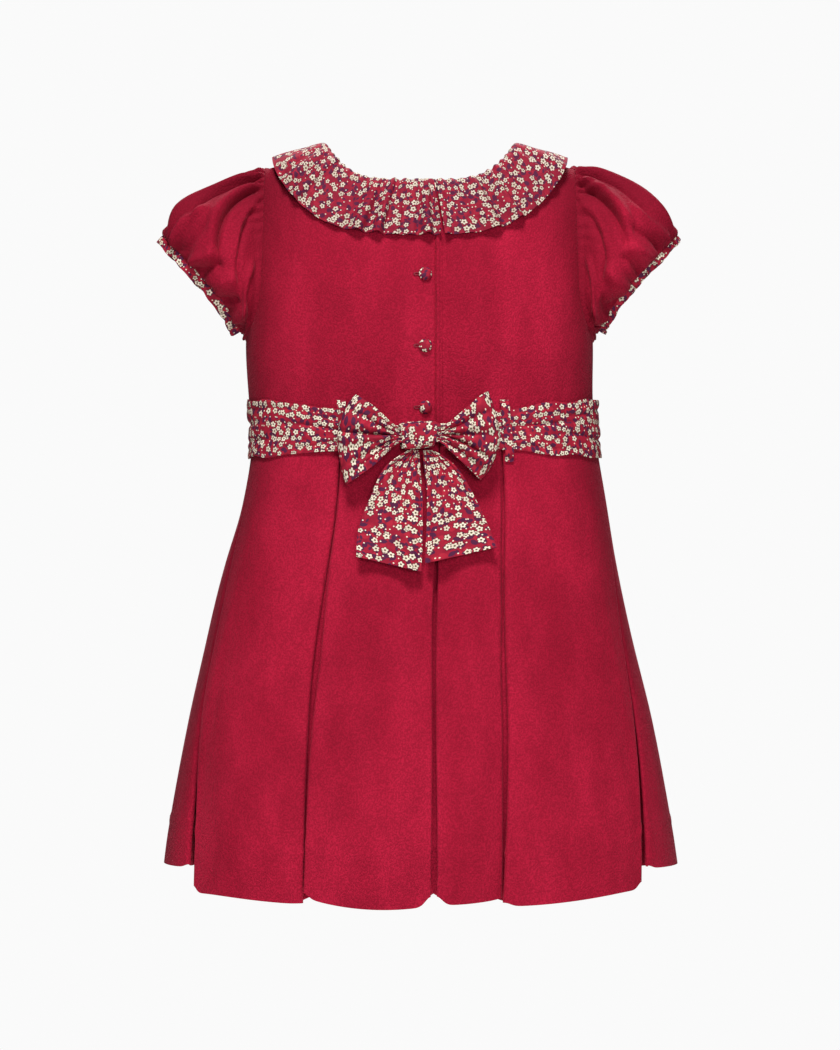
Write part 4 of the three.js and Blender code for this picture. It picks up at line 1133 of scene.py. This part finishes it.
# %% Velvet
def velvet_material():
    m = Recipe("crimson velvet")
    place = m.node("ShaderNodeTexCoord").outputs["Object"]

    def noise(stretch, size, detail=2.0, shift=0.0):
        spot = m.node("ShaderNodeMapping", {"Vector": place, "Scale": (1, 1, stretch),
                                            "Location": (shift, shift, shift)}).outputs[0]
        return m.node("ShaderNodeTexNoise", {"Vector": spot, "Scale": 1 / size, "Detail": detail,
                                             "Roughness": 0.55}).outputs["Fac"]

    brushed = m.step(noise(0.3, 0.04), 0.3, 0.7)
    mottle = m.step(noise(0.6, 0.019, 3.0, 0.4), 0.35, 0.7)
    grain = m.step(noise(0.8, 0.0011, 1.0, 0.9), 0.36, 0.64)
    # Painted shade: the velvet darkens towards the dress's sides and the sleeves, where the cloth lies near the
    # middle of the dress's depth.
    depth = m.node("ShaderNodeSeparateXYZ", {"Vector": place}).outputs[1]
    side = m.step(m.math("ABSOLUTE", depth), 0.054, 0.016)
    tone = m.mix(brushed, VELVET_DARK, VELVET_LIGHT)
    tone = m.mix(m.math("MULTIPLY", mottle, 0.2), tone, VELVET_DEEP)
    tone = m.mix(m.math("MULTIPLY", grain, 0.4), tone, VELVET_DEEP)
    tone = m.mix(m.math("MULTIPLY", side, 0.75), tone, VELVET_DEEP)
    m.put(m.shader.inputs["Base Color"], tone)
    m.put(m.shader.inputs["Roughness"], 0.85)
    m.put(m.shader.inputs["Specular IOR Level"], 0.12)
    m.put(m.shader.inputs["Sheen Weight"], 0.14)
    m.put(m.shader.inputs["Sheen Roughness"], 0.35)
    m.put(m.shader.inputs["Sheen Tint"], srgb(255, 120, 140))
    pile = m.math("ADD", m.math("MULTIPLY", grain, 0.6), mottle)
    bump = m.node("ShaderNodeBump", {"Strength": 0.7, "Distance": 0.0006, "Height": pile})
    m.put(m.shader.inputs["Normal"], bump.outputs[0])
    return m.material


# %% Print
def motif(m, uv, cell, seed):
    """Scatters one motif: local x, y, distance and two random numbers for the nearest spot."""
    scaled = m.node("ShaderNodeVectorMath", {0: uv, "Scale": 1 / cell}, operation="SCALE").outputs[0]
    moved = m.vector("ADD", scaled, (seed, seed * 0.73, 0)).outputs[0]
    spots = m.node("ShaderNodeTexVoronoi", {"Vector": moved, "Scale": 1.0, "Randomness": 0.78},
                   voronoi_dimensions="2D", feature="F1")
    local = m.vector("SUBTRACT", moved, spots.outputs["Position"]).outputs[0]
    random = m.node("ShaderNodeSeparateColor", {"Color": spots.outputs["Color"]})
    spin = m.math("MULTIPLY", random.outputs[0], 2 * math.pi)
    turned = m.node("ShaderNodeVectorRotate", {"Vector": local, "Angle": spin},
                    rotation_type="Z_AXIS").outputs[0]
    xy = m.node("ShaderNodeSeparateXYZ", {"Vector": turned})
    far = m.vector("LENGTH", local).outputs["Value"]
    return xy.outputs[0], xy.outputs[1], far, random.outputs[1], random.outputs[2]


def print_material(name, shade, size=1.0):
    m = Recipe(name)
    uv = m.node("ShaderNodeUVMap", uv_map="cut").outputs[0]
    wash = m.node("ShaderNodeTexNoise", {"Vector": uv, "Scale": 190, "Detail": 1}).outputs["Fac"]
    colour = m.mix(m.step(wash, 0.42, 0.58), PRINT_GROUND, PRINT_RED)

    def leaf(cell, seed, long, half, tint, share):
        x, y, _, pick, _ = motif(m, uv, cell * size, seed)
        bow = m.math("SUBTRACT", 1, m.math("POWER", m.math("DIVIDE", x, long), 2))
        inside = m.math("SUBTRACT", m.math("MULTIPLY", bow, half), m.math("ABSOLUTE", y))
        shape = m.math("MULTIPLY", m.step(inside, 0, 0.05), m.math("GREATER_THAN", pick, 1 - share))
        return m.mix(shape, colour, tint)

    colour = leaf(0.0066, 3.1, 0.5, 0.3, PRINT_BRIGHT, 0.6)
    colour = leaf(0.0058, 8.7, 0.5, 0.3, PRINT_PLUM, 0.7)
    colour = leaf(0.0044, 14.2, 0.42, 0.22, PRINT_PLUM, 0.45)

    _, _, far, pick, _ = motif(m, uv, 0.0034 * size, 21.3)
    dots = m.math("MULTIPLY", m.step(far, 0.17, 0.12), m.math("GREATER_THAN", pick, 0.62))
    colour = m.mix(dots, colour, PRINT_CREAM)

    def daisy(cell, seed, radius, share):
        x, y, far, pick, tone = motif(m, uv, cell * size, seed)
        lobes = m.math("ABSOLUTE", m.math("COSINE", m.math("MULTIPLY", m.math("ARCTAN2", y, x), 2.5)))
        edge = m.math("MULTIPLY", m.math("MULTIPLY_ADD", lobes, 0.4, 0.6), radius)
        inside = m.math("SUBTRACT", edge, far)
        shown = m.math("GREATER_THAN", pick, 1 - share)
        petal = m.math("MULTIPLY", m.step(inside, 0, 0.04), shown)
        rim = m.math("MULTIPLY", m.step(inside, -0.1, -0.04), shown)
        heart = m.math("MULTIPLY", m.step(far, radius * 0.36, radius * 0.24), shown)
        body = m.mix(m.math("MULTIPLY", rim, 0.8), colour, PRINT_OUTLINE)
        body = m.mix(petal, body, m.mix(tone, PRINT_CREAM, PRINT_SHADE))
        return m.mix(heart, body, PRINT_HEART)

    colour = daisy(0.0062, 31.9, 0.31, 0.46)
    colour = daisy(0.0068, 44.4, 0.34, 0.66)
    # shade darkens the whole print towards its outline colour; the collar's copy takes a larger share of it as
    # painted shade.
    colour = m.mix(shade, colour, PRINT_OUTLINE)
    m.put(m.shader.inputs["Base Color"], colour)
    m.put(m.shader.inputs["Roughness"], 0.8)
    m.put(m.shader.inputs["Specular IOR Level"], 0.25)
    weave = m.node("ShaderNodeTexNoise", {"Vector": uv, "Scale": 1800, "Detail": 1}).outputs["Fac"]
    bump = m.node("ShaderNodeBump", {"Strength": 0.3, "Distance": 0.0002, "Height": weave})
    m.put(m.shader.inputs["Normal"], bump.outputs[0])
    return m.material


def thread_material():
    m = Recipe("sewing thread")
    place = m.node("ShaderNodeTexCoord").outputs["Object"]
    twist = m.node("ShaderNodeTexWave", {"Vector": place, "Scale": 700, "Distortion": 1.5},
                   bands_direction="DIAGONAL").outputs["Fac"]
    m.put(m.shader.inputs["Base Color"], m.mix(twist, srgb(92, 6, 26), srgb(150, 18, 46)))
    m.put(m.shader.inputs["Roughness"], 0.6)
    bump = m.node("ShaderNodeBump", {"Strength": 0.5, "Distance": 0.0002, "Height": twist})
    m.put(m.shader.inputs["Normal"], bump.outputs[0])
    return m.material


velvet = velvet_material()
printed = print_material("printed cotton", 0.07)
# The collar's copy of the print is darkened further: painted shade.
collar_print_painted_shade = print_material("collar print with painted shade", 0.32)
thread = thread_material()

floor_finish = Recipe("pale floor")
floor_finish.put(floor_finish.shader.inputs["Base Color"], srgb(244, 243, 241))
floor_finish.put(floor_finish.shader.inputs["Roughness"], 0.9)
floor.data.materials.append(floor_finish.material)

# %% [markdown]
# ## Bodies and finishes
# Every piece rides on the one body, stands for its CAD node, and takes the material of the
# cloth it was cut from.

# %% Bodies and finishes
VELVET_PIECES = {
    "bodice_front": bodice_front, "bodice_back_left": bodice_back_left,
    "bodice_back_right": bodice_back_right, "sleeve_left": sleeve_left,
    "sleeve_right": sleeve_right, "skirt_back": skirt_back, "skirt_front": skirt_front,
}
PRINT_PIECES = {
    "neck_binding": neck_binding, "collar_left": collar_left, "collar_right": collar_right,
    "cuff_left": cuff_left, "cuff_right": cuff_right, "sash_band": sash_band,
    "belt_loop_left": belt_loop_left, "belt_loop_right": belt_loop_right,
    "bow_loop_left": bow_loop_left, "bow_loop_right": bow_loop_right, "bow_knot": bow_knot,
    "bow_tail_left": bow_tail_left, "bow_tail_right": bow_tail_right,
}
for node, piece in {**VELVET_PIECES, **PRINT_PIECES}.items():
    finish, slot = (velvet, "velvet") if node in VELVET_PIECES else (printed, "print")
    # The collar takes the copy of the print with painted shade.
    if node.startswith("collar"):
        finish = collar_print_painted_shade
    piece.data.materials.clear()
    piece.data.materials.append(finish)
    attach(piece, "root")
    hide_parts(node)
for name, piece in buttons.items():
    piece.data.materials.clear()
    piece.data.materials.append(printed)
    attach(piece, "root")
    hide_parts("button_" + name)

for piece in buttonholes:
    piece.data.materials.clear()
    piece.data.materials.append(thread)
    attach(piece, "root")
